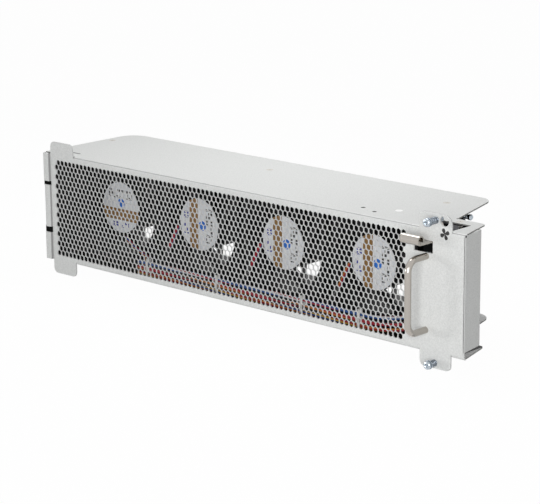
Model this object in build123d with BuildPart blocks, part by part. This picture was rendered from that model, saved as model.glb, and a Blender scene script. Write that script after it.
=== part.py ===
from build123d import *
from math import cos, floor, radians, sin, sqrt
import os

# Fan tray for a rack switch, in millimetres. X runs along the front panel to the right, Y goes
# into the chassis and Z is up. The origin is the middle of the footprint, at the foot of the
# lower ears.
os.makedirs("parts", exist_ok=True)

# Overall sizes
tray_width = 425.5
sheet_depth = 97.2
panel_height = 87.5
ear_drop = 10.5
handle_reach = 21.8

# Sheet metal
sheet = 1.0
bend_inside = 0.8
wall_bend_inside = 0.4
cover_front_depth = 2.0
cut_margin = 1.0

# Where the panel stands
left_x = -tray_width / 2
right_x = tray_width / 2
front_y = (handle_reach - sheet_depth) / 2
rear_y = front_y + sheet_depth
bottom_z = ear_drop
top_z = bottom_z + panel_height
middle_z = (bottom_z + top_z) / 2
inner_top_z = top_z - sheet
inner_bottom_z = bottom_z + sheet
bend_outside = bend_inside + sheet

# Spring edge on the left of the panel
edge_width = 7.7
edge_step = 2.0
edge_return = 2.4
edge_crown_share = 0.45
edge_root_inner = 0.6 * sheet
edge_root_outer = 1.6 * sheet
panel_left_x = left_x + edge_width
edge_upper_gap = (23.0, 26.0)
edge_lower_gap = (60.4, 64.9)

# Outline of the top and bottom sheets
rear_left_radius = 15.8
rear_right_radius = 13.5
rear_right_inset = 51.6
flange_inset = 33.3
flange_depth = 33.4
flange_tip_inset = 8.8
flange_tip_radius = 3.5
corner_relief_radius = 0.8

# Right end wall
end_wall_depth = 22.5
end_wall_taper = 10.2
end_wall_lift = 5.2
end_wall_hem = 1.4

# Grille in the front panel
grille_pitch = 13.5
grille_land = 2.3
grille_left_margin = 4.6
grille_width = tray_width - 64.0
grille_height = panel_height - 9.7

# Ears
left_ear_width = 26.5
left_ear_rise = 9.5
ear_radius = 4.2
right_ear_left_inset = 39.8
right_ear_width = 28.3
right_ear_rise = 11.05
right_ear_tip_radius = 6.6
low_right_ear_left_inset = 38.3
low_right_ear_width = 27.1
hook_window_left_inset = 38.8
hook_window_right_inset = 13.5
hook_window_depth = 23.4
edge_slot_depth = 12.2
edge_slot_length = 15.5
edge_slot_width = 1.1

# Alignment hole in the upper right ear
alignment_radius = 3.7
alignment_inset = 18.0
alignment_above_top = 6.5

# Small holes in the top sheet
pilot_radius = 1.7
pilot_places = [(104.3, 17.1), (90.0, 12.4)]
dimple_radius = 3.1
dimple_height = 0.5
dimple_place = (78.0, 24.8)

# Countersunk screws
screw_head_radius = 2.9
screw_shank_radius = 1.45
screw_shank_length = 2.6
screw_clearance = 0.05
screw_depth = 67.2
left_screw_inset = 7.5
centre_screw_offset = -0.75
right_screw_offset = -5.35
latch_screw_inset = 26.3
latch_screw_depth = 27.8

# Captive screws in the right ears
captive_inset = 25.0
captive_above_top = 6.3
captive_foot = 4.1
captive_reach = {"upper": 11.7, "lower": 9.4}
captive_head_radius = 3.4
captive_head_height = 2.6
captive_neck_radius = 1.5
captive_hole_radius = 1.8
captive_thread_radius = 2.0
captive_thread_length = 5.0
captive_running_gap = 0.1
captive_recess = 1.2
captive_recess_width = 0.9
washer_radius = 3.2
washer_thickness = 0.6
washer_clearance = 0.05
captive_coil_radius = 2.35
captive_wire_radius = 0.28
captive_turns = 4
captive_end_gap = 0.05

# Bow handle
handle_inset = 33.3
handle_rod_radius = 2.4
handle_span = panel_height - 35.5
handle_drop = 2.3
handle_bend = 8.0
handle_screw_radius = 1.5
handle_screw_head_radius = 2.8
handle_screw_head_height = 2.0
handle_screw_depth = 7.0
handle_screw_end_gap = 1.0

# Latch lever
slot_inset = 36.1
slot_width = 16.6
slot_low = 17.6
slot_high = 8.8
lever_side_gap = 0.4
lever_top_gap = 0.15
lever_sheet = 1.0
lever_reach = 12.3
lever_curl_radius = 3.4
lever_curl_sweep = 300
lever_shoulder_depth = 18.0
lever_tail_left_inset = 40.7
lever_tail_right_inset = 31.9
hook_front_depth = 6.0
hook_rear_depth = 17.0
hook_tip_depth = 10.5
hook_above_top = 2.5
pivot_depth = 27.0
pivot_radius = 1.25
pivot_head_radius = 2.0
pivot_head_length = 1.9
pivot_overhang = 1.0
barrel_radius = 2.4
pivot_clearance = 0.05
leg_gap = 0.3
bracket_left_inset = 45.2
bracket_right_inset = 22.0
bracket_front_depth = 24.0
bracket_rear_depth = 32.0
bracket_leg_below = 3.2
spring_wire_radius = 0.35
spring_clearance = 0.4
spring_turns = 3
spring_coil_gap = 0.05
spring_end_gap = 0.2

# Fans, the largest that fit side by side in the space that the handle leaves them
fan_count = 4
fan_left_margin = 8.35
handle_bay_width = 63.95
fan_gap = 8.3
fan_headroom = 7.5
fan_pitch = (tray_width - fan_left_margin - handle_bay_width) / fan_count
fan_size = min(fan_pitch - fan_gap, panel_height - fan_headroom)
fan_depth = 38.0
fan_front_depth = 33.5
fan_bore_radius = 0.475 * fan_size
fan_mouth = 1.0
fan_shroud_wall = 1.4
fan_flange = 4.0
fan_corner_radius = 4.0
fan_hole_spacing = fan_size - 8.5
fan_hole_radius = 2.15
fan_hub_radius = 0.26 * fan_size
fan_hub_plate = 3.0
fan_turns = [90, 0, 0, 0]
strut_count = 4
strut_width = 3.4
strut_depth = 4.0
strut_length = 0.3 * fan_size
strut_middle_radius = 0.365 * fan_size
strut_middle_angle = 204.2
strut_lean = 34.6
bearing_tube_radius = 6.5
bearing_bore_radius = 4.05
bearing_radius = 4.0
bearing_width = 4.0
bearing_inset = 0.5
bearing_tube_depth = 28.0
shaft_radius = 1.5
running_clearance = 0.05
rotor_radius = fan_hub_radius - 0.5
rotor_wall = 1.5
rotor_front_gap = 1.5
rotor_rear_gap = 2.5
blade_count = 7
blade_tip_gap = 0.8
blade_front_gap = 3.5
blade_chord_root = 0.3375 * fan_size
blade_chord_tip = 0.3875 * fan_size
blade_angle_root = 62
blade_angle_tip = 40
blade_thickness = 1.8
blade_camber = 2.2
blade_inner_plane = 0.15 * fan_size
blade_rest_angle = 12
stator_radius = rotor_radius - 3.8
stator_front_gap = 4.0
stator_depth = 17.0
stator_slots = 6
stator_slot_width = 3.0
magnet_outer_radius = rotor_radius - 1.6
magnet_inner_radius = rotor_radius - 3.4
magnet_depth = 18.0
label_radius = fan_hub_radius - 0.4
label_thickness = 0.3

# Fan bracket
bracket_sheet = 1.2
bracket_right_gap = 0.35
bracket_bore_gap = 0.5
bracket_tab_width = 10.0
bracket_tab_depth = 11.5
fan_screw_clearance = 0.1
fan_screw_flats = 7.0
fan_screw_head = 2.4
fan_screw_length = 8.0
fan_screw_radius = 2.05

# Side walls
left_wall_inset = 1.2
left_wall_front_depth = 3.0
left_wall_rear_depth = 80.0
left_wall_flange = 10.4
right_wall_gap = 0.5
right_wall_rear_depth = 80.0
right_wall_flange = 8.0
connector_panel_width = 12.0
connector_panel_depth = 73.7
connector_panel_margin = 1.0

# Guide screw on the right side wall
stud_depth = 75.8
stud_below_top = 9.9
stud_radius = 1.5
stud_collar_radius = 1.8
stud_collar_length = 6.6
stud_head_radius = 2.2
stud_head_length = 2.4

# Rear connector
connector_width = 9.0
connector_height = 44.0
connector_length = 16.0
connector_socket_depth = 7.0
connector_wall = 1.2
connector_ear = 5.0
connector_ear_thickness = 2.0
connector_behind_panel = 7.0
connector_gap = 0.2
connector_screw_radius = 1.2
connector_screw_head_radius = 2.0

# Harness
harness_radius = 1.5
harness_depth = 8.0
harness_heights = [2.3, 6.7, 11.2]
harness_turn_inset = 22.0
harness_turn_depth = 34.0
harness_turn_lift = 6.0
harness_rise_depth = 52.0
harness_rear_drop = 20.0
harness_bends = [22, 14, 9]
lead_radius = 1.2
lead_face_gap = 0.2
lead_end_gap = 0.3
lead_hub_exit = (-0.26875 * fan_size, -0.04375 * fan_size)
lead_strut_end = (-0.4125 * fan_size, -0.28125 * fan_size)
lead_corner_aside = 0.45 * fan_size
lead_corner_drop = 0.425 * fan_size
lead_floor_aside = 4.0
lead_floor_gap = 5.0
lead_floor_lift = 1.0
lead_join_aside = 18.0
lead_bends = [12, 6, 5]
tie_width = 2.4
tie_thickness = 0.6
tie_head = 3.0
tie_shares = [0.132, 0.406, 0.72, 0.92]
tie_clearance = 0.05
liner_thickness = 0.4
liner_front_depth = 2.5
liner_rear_depth = 31.0
liner_left_gap = 12.0
liner_right_inset = 56.0


def save(piece, label):
    """Label a finished piece and write it as one file."""
    piece.label = label
    export_step(piece, f"parts/{label}.step")


def facing(depth):
    """Plane parallel to the front panel, at a depth behind its outer face, facing the viewer."""
    return Plane.XZ.offset(-(front_y + depth))


def bar(x_low, x_high, depth_low, depth_high, z_low, z_high, mode=Mode.ADD):
    """Straight-sided block between stated faces, inside the piece that is being built."""
    with BuildSketch(facing(depth_high)) as block:
        with Locations(((x_low + x_high) / 2, (z_low + z_high) / 2)):
            Rectangle(x_high - x_low, z_high - z_low)
    extrude(block.sketch, amount=depth_high - depth_low, mode=mode)


# Places that several pieces share
end_wall_shift = end_wall_depth * sin(radians(end_wall_taper))
right_ear_x = right_x - right_ear_left_inset
low_right_ear_x = right_x - low_right_ear_left_inset
alignment_x = right_x - alignment_inset
alignment_z = top_z + alignment_above_top
captive_x = right_x - captive_inset
captive_z = {"upper": top_z + captive_above_top, "lower": captive_foot}
slot_x = right_x - slot_inset
handle_x = right_x - handle_inset
handle_z = middle_z - handle_drop
fan_x = [left_x + fan_left_margin + fan_pitch * (number + 0.5) for number in range(fan_count)]
fans_middle_x = (fan_x[0] + fan_x[-1]) / 2
bay_x = right_x - handle_bay_width
top_screw_places = [
    (left_x + left_screw_inset, front_y + screw_depth),
    (fans_middle_x + centre_screw_offset, front_y + screw_depth),
    (bay_x + right_screw_offset, front_y + screw_depth),
    (right_x - latch_screw_inset, front_y + latch_screw_depth),
]
bottom_screw_places = top_screw_places[:3]


# Front panel: the grille, the four ears, the spring edge on the left, the bends above and below
# and the wall folded back at the right end
def ear_blank(x_low, width, z_low, z_high):
    """Square-cornered ear in the plane of the front panel, one sheet thick."""
    with BuildSketch(facing(sheet)) as blank:
        with Locations((x_low + width / 2, (z_low + z_high) / 2)):
            Rectangle(width, z_high - z_low)
    extrude(blank.sketch, amount=sheet)


def stepped_edge(z_low, z_high):
    """Segment of the left edge that steps forward and returns along the side."""
    step_y = front_y - edge_step
    with BuildLine() as profile:
        Polyline(
            (panel_left_x, front_y),
            (panel_left_x - sheet, step_y),
            (left_x, step_y),
            (left_x, step_y + sheet + edge_return),
            (left_x + sheet, step_y + sheet + edge_return),
            (left_x + sheet, step_y + sheet),
            (panel_left_x - edge_root_outer, step_y + sheet),
            (panel_left_x - edge_root_inner, front_y + sheet),
            (panel_left_x, front_y + sheet),
            close=True,
        )
    with BuildSketch(Plane.XY.offset(z_low)) as segment:
        make_face(profile.edges())
        inside_corner = Vertex(left_x + sheet, step_y + sheet, 0)
        fillet(segment.vertices().sort_by_distance(inside_corner)[0], bend_inside)
        outside_corner = Vertex(left_x, step_y, 0)
        fillet(segment.vertices().sort_by_distance(outside_corner)[0], bend_outside)
    extrude(segment.sketch, amount=z_high - z_low)


def rolled_edge(z_low, z_high):
    """Segment of the left edge that bulges forward and rolls round to the side."""
    crown_x = left_x + edge_width * edge_crown_share
    with BuildLine() as profile:
        ThreePointArc(
            (panel_left_x, front_y), (crown_x, front_y - edge_step), (left_x, front_y + sheet)
        )
        Line((left_x, front_y + sheet), (left_x + sheet, front_y + sheet))
        ThreePointArc(
            (left_x + sheet, front_y + sheet),
            (crown_x, front_y - edge_step + sheet),
            (panel_left_x, front_y + sheet),
        )
        Line((panel_left_x, front_y + sheet), (panel_left_x, front_y))
    with BuildSketch(Plane.XY.offset(z_low)) as segment:
        make_face(profile.edges())
    extrude(segment.sketch, amount=z_high - z_low)


grille_row = grille_pitch * sqrt(3) / 2
hexagon_flats = grille_pitch - grille_land
rows = floor((grille_height - hexagon_flats * 2 / sqrt(3)) / grille_row) + 1
columns = floor((grille_width - hexagon_flats - grille_pitch / 2) / grille_pitch) + 1
grille_x = panel_left_x + grille_left_margin + grille_width / 2
left_ear_right_x = panel_left_x + left_ear_width
ear_cuts = [
    (panel_left_x - cut_margin, left_ear_right_x, top_z),
    (right_x - hook_window_left_inset, right_x - hook_window_right_inset, top_z),
    (panel_left_x - cut_margin, left_ear_right_x, inner_bottom_z),
    (low_right_ear_x, low_right_ear_x + low_right_ear_width, inner_bottom_z),
]

with BuildPart() as front_panel:
    with BuildSketch(Plane.YZ.offset(panel_left_x)) as section:
        with Locations((front_y + cover_front_depth / 2, middle_z)):
            Rectangle(cover_front_depth, panel_height)
        fillet(section.vertices().group_by(Axis.X)[0], bend_outside)
    extrude(amount=tray_width - edge_width)
    with BuildSketch(Plane.YZ.offset(panel_left_x)) as inside:
        with Locations((front_y + sheet + cover_front_depth, middle_z)):
            Rectangle(2 * cover_front_depth, panel_height - 2 * sheet)
        fillet(inside.vertices().group_by(Axis.X)[0], bend_inside)
    extrude(amount=tray_width - edge_width, mode=Mode.SUBTRACT)
    for x_low, x_high, z_high in ear_cuts:
        z_low = z_high - sheet
        bar(
            x_low,
            x_high,
            sheet,
            cover_front_depth,
            z_low - cut_margin,
            z_high + cut_margin,
            mode=Mode.SUBTRACT,
        )
    # Ears, in the plane of the panel, with their outer corners rounded
    ear_blank(panel_left_x, left_ear_width, 0, top_z + left_ear_rise)
    ear_blank(right_ear_x, right_ear_width, middle_z, top_z + right_ear_rise)
    ear_blank(low_right_ear_x, low_right_ear_width, 0, middle_z)
    corners = front_panel.edges().filter_by(Axis.Y)
    fillet(corners.group_by(Axis.Z)[0], ear_radius)
    left_tips = front_panel.edges().filter_by(Axis.Y).group_by(Axis.Z)[-2]
    fillet(left_tips, ear_radius)
    right_tips = front_panel.edges().filter_by(Axis.Y).group_by(Axis.Z)[-1].sort_by(Axis.X)
    fillet(right_tips[-1], right_ear_tip_radius)
    fillet(front_panel.edges().filter_by(Axis.Y).group_by(Axis.Z)[-1].sort_by(Axis.X)[0], ear_radius)
    # Spring edge in three segments
    stepped_edge(top_z - edge_upper_gap[0], top_z - sheet / 2)
    rolled_edge(top_z - edge_lower_gap[0], top_z - edge_upper_gap[1])
    stepped_edge(bottom_z + sheet / 2, top_z - edge_lower_gap[1])
    # Right end wall, folded back from the panel and hemmed at its rear edge
    wall_inner_x = right_x - end_wall_shift - sheet
    with BuildSketch(Plane.XY.offset(bottom_z + end_wall_lift)):
        with BuildLine():
            Polyline(
                (right_x, front_y),
                (right_x - end_wall_shift, front_y + end_wall_depth),
                (wall_inner_x - end_wall_hem, front_y + end_wall_depth),
                (wall_inner_x - end_wall_hem, front_y + end_wall_depth - sheet),
                (wall_inner_x, front_y + end_wall_depth - sheet),
                (right_x - sheet, front_y + sheet),
                (right_x - sheet, front_y),
                close=True,
            )
        make_face()
    extrude(amount=panel_height - end_wall_lift - sheet)
    # Holes in the panel
    with BuildSketch(facing(sheet)):
        with Locations((grille_x, middle_z)):
            with HexLocations(grille_pitch / 2, columns, rows, major_radius=False):
                RegularPolygon(hexagon_flats / 2, 6, major_radius=False, rotation=30)
        with Locations((slot_x, top_z - (slot_low + slot_high) / 2)):
            Rectangle(slot_width, slot_low - slot_high)
        with Locations((alignment_x, alignment_z)):
            Circle(alignment_radius)
        with Locations([(captive_x, z) for z in captive_z.values()]):
            Circle(captive_hole_radius)
        with Locations([(handle_x, handle_z + side * handle_span / 2) for side in (-1, 1)]):
            Circle(handle_screw_radius + screw_clearance)
    extrude(amount=sheet, mode=Mode.SUBTRACT)
save(front_panel.part, "front_panel")


# Top and bottom covers: flat sheets on from the bends, with the tapered right side and the
# flange in front of it
def cover_plan():
    """Plan of a cover before its holes and cut-outs."""
    cover_y = front_y + cover_front_depth
    tip_share = cover_front_depth / flange_depth
    with BuildLine() as outline:
        Polyline(
            (left_x, cover_y),
            (left_x, rear_y),
            (right_x - rear_right_inset, rear_y),
            (right_x - flange_inset, front_y + flange_depth),
            (right_x - flange_tip_inset, front_y + flange_depth),
            (right_x - flange_tip_inset * tip_share, cover_y),
            close=True,
        )
    with BuildSketch(Plane.XY) as plan:
        make_face(outline.edges())
        fillet(plan.vertices().group_by(Axis.Y)[-1].sort_by(Axis.X)[0], rear_left_radius)
        fillet(plan.vertices().group_by(Axis.Y)[-1].sort_by(Axis.X)[-1], rear_right_radius)
        tip = Vertex(right_x - flange_tip_inset, front_y + flange_depth, 0)
        fillet(plan.vertices().sort_by_distance(tip)[0], flange_tip_radius)
        with Locations((right_x - flange_inset, front_y + flange_depth)):
            Circle(corner_relief_radius, mode=Mode.SUBTRACT)
    return plan.sketch


cone_radius = screw_head_radius + screw_clearance
window_width = hook_window_left_inset - hook_window_right_inset
window_x = right_x - (hook_window_left_inset + hook_window_right_inset) / 2

with BuildPart() as top_cover:
    with BuildSketch(Plane.XY.offset(inner_top_z)):
        add(cover_plan())
        with Locations((window_x, front_y + hook_window_depth / 2)):
            Rectangle(window_width, hook_window_depth, mode=Mode.SUBTRACT)
        with Locations([(right_x - inset, front_y + depth) for inset, depth in pilot_places]):
            Circle(pilot_radius, mode=Mode.SUBTRACT)
        with Locations((panel_left_x + edge_slot_length / 2, front_y + edge_slot_depth)):
            Rectangle(edge_slot_length, edge_slot_width, mode=Mode.SUBTRACT)
    extrude(amount=sheet)
    with Locations([Location((x, y, top_z - sheet / 2)) for x, y in top_screw_places]):
        Cone(cone_radius - sheet, cone_radius, sheet, mode=Mode.SUBTRACT)
    dimple_spot = (right_x - dimple_place[0], front_y + dimple_place[1], top_z + dimple_height / 2)
    with Locations(dimple_spot):
        Cone(dimple_radius, dimple_radius - dimple_height, dimple_height)
save(top_cover.part, "top_cover")

with BuildPart() as bottom_cover:
    with BuildSketch(Plane.XY.offset(bottom_z)):
        add(cover_plan())
    extrude(amount=sheet)
    with Locations([Location((x, y, bottom_z + sheet / 2)) for x, y in bottom_screw_places]):
        Cone(cone_radius, cone_radius - sheet, sheet, mode=Mode.SUBTRACT)
save(bottom_cover.part, "bottom_cover")


def countersunk_screws(places, head_z, up):
    """Flush screws: a cone as thick as the sheet, then a plain shank into the flange."""
    tip_z = head_z - up * (sheet + screw_shank_length)
    for x, y in places:
        with BuildLine() as profile:
            Polyline(
                (x, head_z),
                (x + screw_head_radius, head_z),
                (x + screw_head_radius - sheet, head_z - up * sheet),
                (x + screw_shank_radius, head_z - up * sheet),
                (x + screw_shank_radius, tip_z),
                (x, tip_z),
                close=True,
            )
        with BuildSketch(Plane.XZ.offset(-y)) as half:
            make_face(profile.edges())
        revolve(half.sketch, axis=Axis((x, y, 0), (0, 0, 1)))


with BuildPart() as top_screws:
    countersunk_screws(top_screw_places, top_z, 1)
save(top_screws.part, "top_screws")

with BuildPart() as bottom_screws:
    countersunk_screws(bottom_screw_places, bottom_z, -1)
save(bottom_screws.part, "bottom_screws")

# Left side wall: a channel between the sheets, screwed to both through its flanges
left_wall_x = left_x + left_wall_inset

with BuildPart() as left_side_wall:
    with BuildSketch(facing(left_wall_rear_depth)) as channel:
        with BuildLine():
            Polyline(
                (left_wall_x, inner_bottom_z),
                (left_wall_x, inner_top_z),
                (left_wall_x + left_wall_flange, inner_top_z),
                (left_wall_x + left_wall_flange, inner_top_z - sheet),
                (left_wall_x + sheet, inner_top_z - sheet),
                (left_wall_x + sheet, inner_bottom_z + sheet),
                (left_wall_x + left_wall_flange, inner_bottom_z + sheet),
                (left_wall_x + left_wall_flange, inner_bottom_z),
                close=True,
            )
        make_face()
        fillet(channel.vertices().group_by(Axis.X)[1], wall_bend_inside)
        fillet(channel.vertices().group_by(Axis.X)[0], wall_bend_inside + sheet)
    extrude(amount=left_wall_rear_depth - left_wall_front_depth)
    with Locations((top_screw_places[0][0], top_screw_places[0][1], middle_z)):
        Cylinder(screw_shank_radius + screw_clearance, panel_height, mode=Mode.SUBTRACT)
save(left_side_wall.part, "left_side_wall")

# Right side wall: a channel beside the last fan, with a tab bent outward for the connector
right_wall_x = bay_x + right_wall_gap
outer_wall_x = right_wall_x + sheet
panel_face_y = front_y + connector_panel_depth
connector_x = outer_wall_x + connector_panel_width / 2
connector_tab_reach = connector_height / 2 + connector_ear + connector_panel_margin

stud_plane = Plane(
    origin=(outer_wall_x, front_y + stud_depth, top_z - stud_below_top),
    z_dir=(1, 0, 0),
)

with BuildPart() as right_side_wall:
    with BuildSketch(facing(right_wall_rear_depth)) as right_channel:
        with BuildLine():
            Polyline(
                (right_wall_x, inner_bottom_z),
                (right_wall_x, inner_top_z),
                (right_wall_x + right_wall_flange, inner_top_z),
                (right_wall_x + right_wall_flange, inner_top_z - sheet),
                (outer_wall_x, inner_top_z - sheet),
                (outer_wall_x, inner_bottom_z + sheet),
                (right_wall_x + right_wall_flange, inner_bottom_z + sheet),
                (right_wall_x + right_wall_flange, inner_bottom_z),
                close=True,
            )
        make_face()
        fillet(right_channel.vertices().group_by(Axis.X)[1], wall_bend_inside)
        fillet(right_channel.vertices().group_by(Axis.X)[0], wall_bend_inside + sheet)
    extrude(amount=right_wall_rear_depth - fan_front_depth)
    # Tab and its opening for the connector
    bar(
        outer_wall_x - sheet / 2,
        outer_wall_x + connector_panel_width,
        connector_panel_depth - sheet,
        connector_panel_depth,
        middle_z - connector_tab_reach,
        middle_z + connector_tab_reach,
    )
    bar(
        connector_x - connector_width / 2 - connector_gap,
        connector_x + connector_width / 2 + connector_gap,
        connector_panel_depth - sheet,
        connector_panel_depth,
        middle_z - connector_height / 2 - connector_gap,
        middle_z + connector_height / 2 + connector_gap,
        mode=Mode.SUBTRACT,
    )
    with BuildSketch(facing(connector_panel_depth)):
        with GridLocations(1, connector_height + connector_ear, 1, 2):
            with Locations((connector_x, middle_z)):
                Circle(connector_screw_radius + screw_clearance)
    extrude(amount=sheet, mode=Mode.SUBTRACT)
    # Hole for the guide screw
    with BuildSketch(stud_plane.offset(-sheet)):
        Circle(stud_radius + screw_clearance)
    extrude(amount=sheet, mode=Mode.SUBTRACT)
save(right_side_wall.part, "right_side_wall")

# Guide screw: collar against the wall, grooved shank and a flat head
with BuildPart() as guide_screw:
    with BuildSketch(stud_plane.offset(-sheet)):
        Circle(stud_radius)
    extrude(amount=sheet)
    with BuildSketch(stud_plane):
        Circle(stud_collar_radius)
    extrude(amount=stud_collar_length)
    with BuildSketch(stud_plane.offset(stud_collar_length)):
        Circle(stud_head_radius)
    extrude(amount=stud_head_length)
save(guide_screw.part, "guide_screw")

# Rear connector: socket shell with ears that bear on the cross panel
connector_front_y = panel_face_y - connector_length + connector_behind_panel
with BuildPart() as rear_connector:
    connector_front_depth = connector_front_y - front_y
    connector_rear_depth = connector_front_depth + connector_length
    bar(
        connector_x - connector_width / 2,
        connector_x + connector_width / 2,
        connector_front_depth,
        connector_rear_depth,
        middle_z - connector_height / 2,
        middle_z + connector_height / 2,
    )
    bar(
        connector_x - connector_width / 2,
        connector_x + connector_width / 2,
        panel_face_y - front_y,
        panel_face_y - front_y + connector_ear_thickness,
        middle_z - connector_height / 2 - connector_ear,
        middle_z + connector_height / 2 + connector_ear,
    )
    bar(
        connector_x - connector_width / 2 + connector_wall,
        connector_x + connector_width / 2 - connector_wall,
        connector_rear_depth - connector_socket_depth,
        connector_rear_depth,
        middle_z - connector_height / 2 + connector_wall,
        middle_z + connector_height / 2 - connector_wall,
        mode=Mode.SUBTRACT,
    )
    with BuildSketch(facing(panel_face_y - front_y + connector_ear_thickness)):
        with GridLocations(1, connector_height + connector_ear, 1, 2):
            with Locations((connector_x, middle_z)):
                Circle(connector_screw_radius + screw_clearance)
    extrude(amount=connector_ear_thickness, mode=Mode.SUBTRACT)
save(rear_connector.part, "rear_connector")

with BuildPart() as connector_screws:
    ear_face = panel_face_y - front_y + connector_ear_thickness
    with BuildSketch(facing(ear_face)):
        with GridLocations(1, connector_height + connector_ear, 1, 2):
            with Locations((connector_x, middle_z)):
                Circle(connector_screw_radius)
    extrude(amount=connector_ear_thickness + sheet)
    with BuildSketch(facing(ear_face + connector_screw_radius)):
        with GridLocations(1, connector_height + connector_ear, 1, 2):
            with Locations((connector_x, middle_z)):
                RegularPolygon(connector_screw_head_radius, 6)
    extrude(amount=connector_screw_radius)
save(connector_screws.part, "connector_screws")

# Bow handle, bent from round rod, with a tapped hole in each end
handle_low_z = handle_z - handle_span / 2
handle_high_z = handle_z + handle_span / 2
grip_depth = -(handle_reach - handle_rod_radius)
with BuildPart() as handle:
    with BuildLine() as handle_line:
        FilletPolyline(
            (handle_x, front_y, handle_low_z),
            (handle_x, front_y + grip_depth, handle_low_z),
            (handle_x, front_y + grip_depth, handle_high_z),
            (handle_x, front_y, handle_high_z),
            radius=handle_bend,
        )
    with BuildSketch(facing(0)):
        with Locations((handle_x, handle_low_z)):
            Circle(handle_rod_radius)
    sweep()
    with BuildSketch(facing(0)):
        with Locations((handle_x, handle_low_z), (handle_x, handle_high_z)):
            Circle(handle_screw_radius + screw_clearance)
    extrude(amount=handle_screw_depth, mode=Mode.SUBTRACT)
save(handle.part, "handle")

with BuildPart() as handle_screws:
    with BuildSketch(facing(sheet)):
        with Locations((handle_x, handle_low_z), (handle_x, handle_high_z)):
            Circle(handle_screw_radius)
    extrude(amount=sheet + handle_screw_depth - handle_screw_end_gap)
    with BuildSketch(facing(sheet + handle_screw_head_height)):
        with Locations((handle_x, handle_low_z), (handle_x, handle_high_z)):
            Circle(handle_screw_head_radius)
    extrude(amount=handle_screw_head_height)
save(handle_screws.part, "handle_screws")

# Latch lever: a bright sheet with a rolled grip in front, a hook that rises through the window
# in the top sheet, and a barrel round the pivot pin
lever_low_x = slot_x - slot_width / 2 + lever_side_gap
lever_high_x = slot_x + slot_width / 2 - lever_side_gap
lever_top_z = top_z - slot_high - lever_top_gap
lever_low_z = lever_top_z - lever_sheet
tail_low_x = right_x - lever_tail_left_inset
tail_high_x = right_x - lever_tail_right_inset
pivot_y = front_y + pivot_depth
pivot_z = lever_low_z + barrel_radius
curl_y = front_y - lever_reach
curl_z = lever_low_z + lever_curl_radius
curl_inside = lever_curl_radius - lever_sheet


def round_point(centre_y, centre_z, radius, angle):
    """Point on a circle in a side view, the angle measured clockwise from straight down."""
    turn = radians(angle)
    return (centre_y - radius * sin(turn), centre_z - radius * cos(turn))


with BuildPart() as latch_lever:
    with BuildSketch(Plane.YZ.offset(lever_low_x)):
        with BuildLine():
            Line((front_y + lever_shoulder_depth, lever_low_z), (curl_y, lever_low_z))
            ThreePointArc(
                (curl_y, lever_low_z),
                round_point(curl_y, curl_z, lever_curl_radius, lever_curl_sweep / 2),
                round_point(curl_y, curl_z, lever_curl_radius, lever_curl_sweep),
            )
            Line(
                round_point(curl_y, curl_z, lever_curl_radius, lever_curl_sweep),
                round_point(curl_y, curl_z, curl_inside, lever_curl_sweep),
            )
            ThreePointArc(
                round_point(curl_y, curl_z, curl_inside, lever_curl_sweep),
                round_point(curl_y, curl_z, curl_inside, lever_curl_sweep / 2),
                (curl_y, lever_top_z),
            )
            Line((curl_y, lever_top_z), (front_y + lever_shoulder_depth, lever_top_z))
            Line(
                (front_y + lever_shoulder_depth, lever_top_z),
                (front_y + lever_shoulder_depth, lever_low_z),
            )
        make_face()
    extrude(amount=lever_high_x - lever_low_x)
    # Narrow tail to the barrel
    with BuildSketch(Plane.YZ.offset(tail_low_x)):
        with Locations(((front_y + lever_shoulder_depth + pivot_y) / 2, lever_low_z + lever_sheet / 2)):
            Rectangle(pivot_depth - lever_shoulder_depth, lever_sheet)
        with Locations((pivot_y, pivot_z)):
            Circle(barrel_radius)
            Circle(pivot_radius + pivot_clearance, mode=Mode.SUBTRACT)
    extrude(amount=tail_high_x - tail_low_x)
    # Hook, folded up along the right edge
    with BuildSketch(Plane.YZ.offset(lever_high_x - lever_sheet)):
        with BuildLine():
            Polyline(
                (front_y + hook_front_depth, lever_top_z),
                (front_y + hook_front_depth, top_z + hook_above_top),
                (front_y + hook_tip_depth, top_z + hook_above_top),
                (front_y + hook_rear_depth, lever_top_z + 2 * lever_sheet),
                (front_y + hook_rear_depth, lever_top_z),
                close=True,
            )
        make_face()
    extrude(amount=lever_sheet)
save(latch_lever.part, "latch_lever")

# Latch bracket: a saddle under the top sheet, with a leg on each side of the lever's tail
leg_low_x = right_x - bracket_left_inset
leg_high_x = tail_high_x + leg_gap
bracket_plate_z = inner_top_z - sheet
with BuildPart() as latch_bracket:
    bar(
        leg_low_x,
        right_x - bracket_right_inset,
        bracket_front_depth,
        bracket_rear_depth,
        bracket_plate_z,
        inner_top_z,
    )
    for leg_x in (leg_low_x, leg_high_x):
        bar(
            leg_x,
            leg_x + sheet,
            bracket_front_depth,
            bracket_rear_depth,
            pivot_z - bracket_leg_below,
            bracket_plate_z,
        )
    with BuildSketch(Plane.YZ.offset(leg_low_x)):
        with Locations((pivot_y, pivot_z)):
            Circle(pivot_radius + pivot_clearance)
    extrude(amount=leg_high_x + sheet - leg_low_x, mode=Mode.SUBTRACT)
    with BuildSketch(Plane.XY.offset(bracket_plate_z)):
        with Locations(top_screw_places[3]):
            Circle(screw_shank_radius + screw_clearance)
    extrude(amount=sheet, mode=Mode.SUBTRACT)
save(latch_bracket.part, "latch_bracket")

with BuildPart() as latch_pivot_pin:
    with BuildSketch(Plane.YZ.offset(leg_low_x - pivot_clearance)):
        with Locations((pivot_y, pivot_z)):
            Circle(pivot_radius)
    extrude(amount=leg_high_x + sheet + pivot_overhang + pivot_clearance - leg_low_x)
    with BuildSketch(Plane.YZ.offset(leg_low_x - pivot_clearance - pivot_head_length)):
        with Locations((pivot_y, pivot_z)):
            Circle(pivot_head_radius)
    extrude(amount=pivot_head_length)
save(latch_pivot_pin.part, "latch_pivot_pin")

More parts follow.
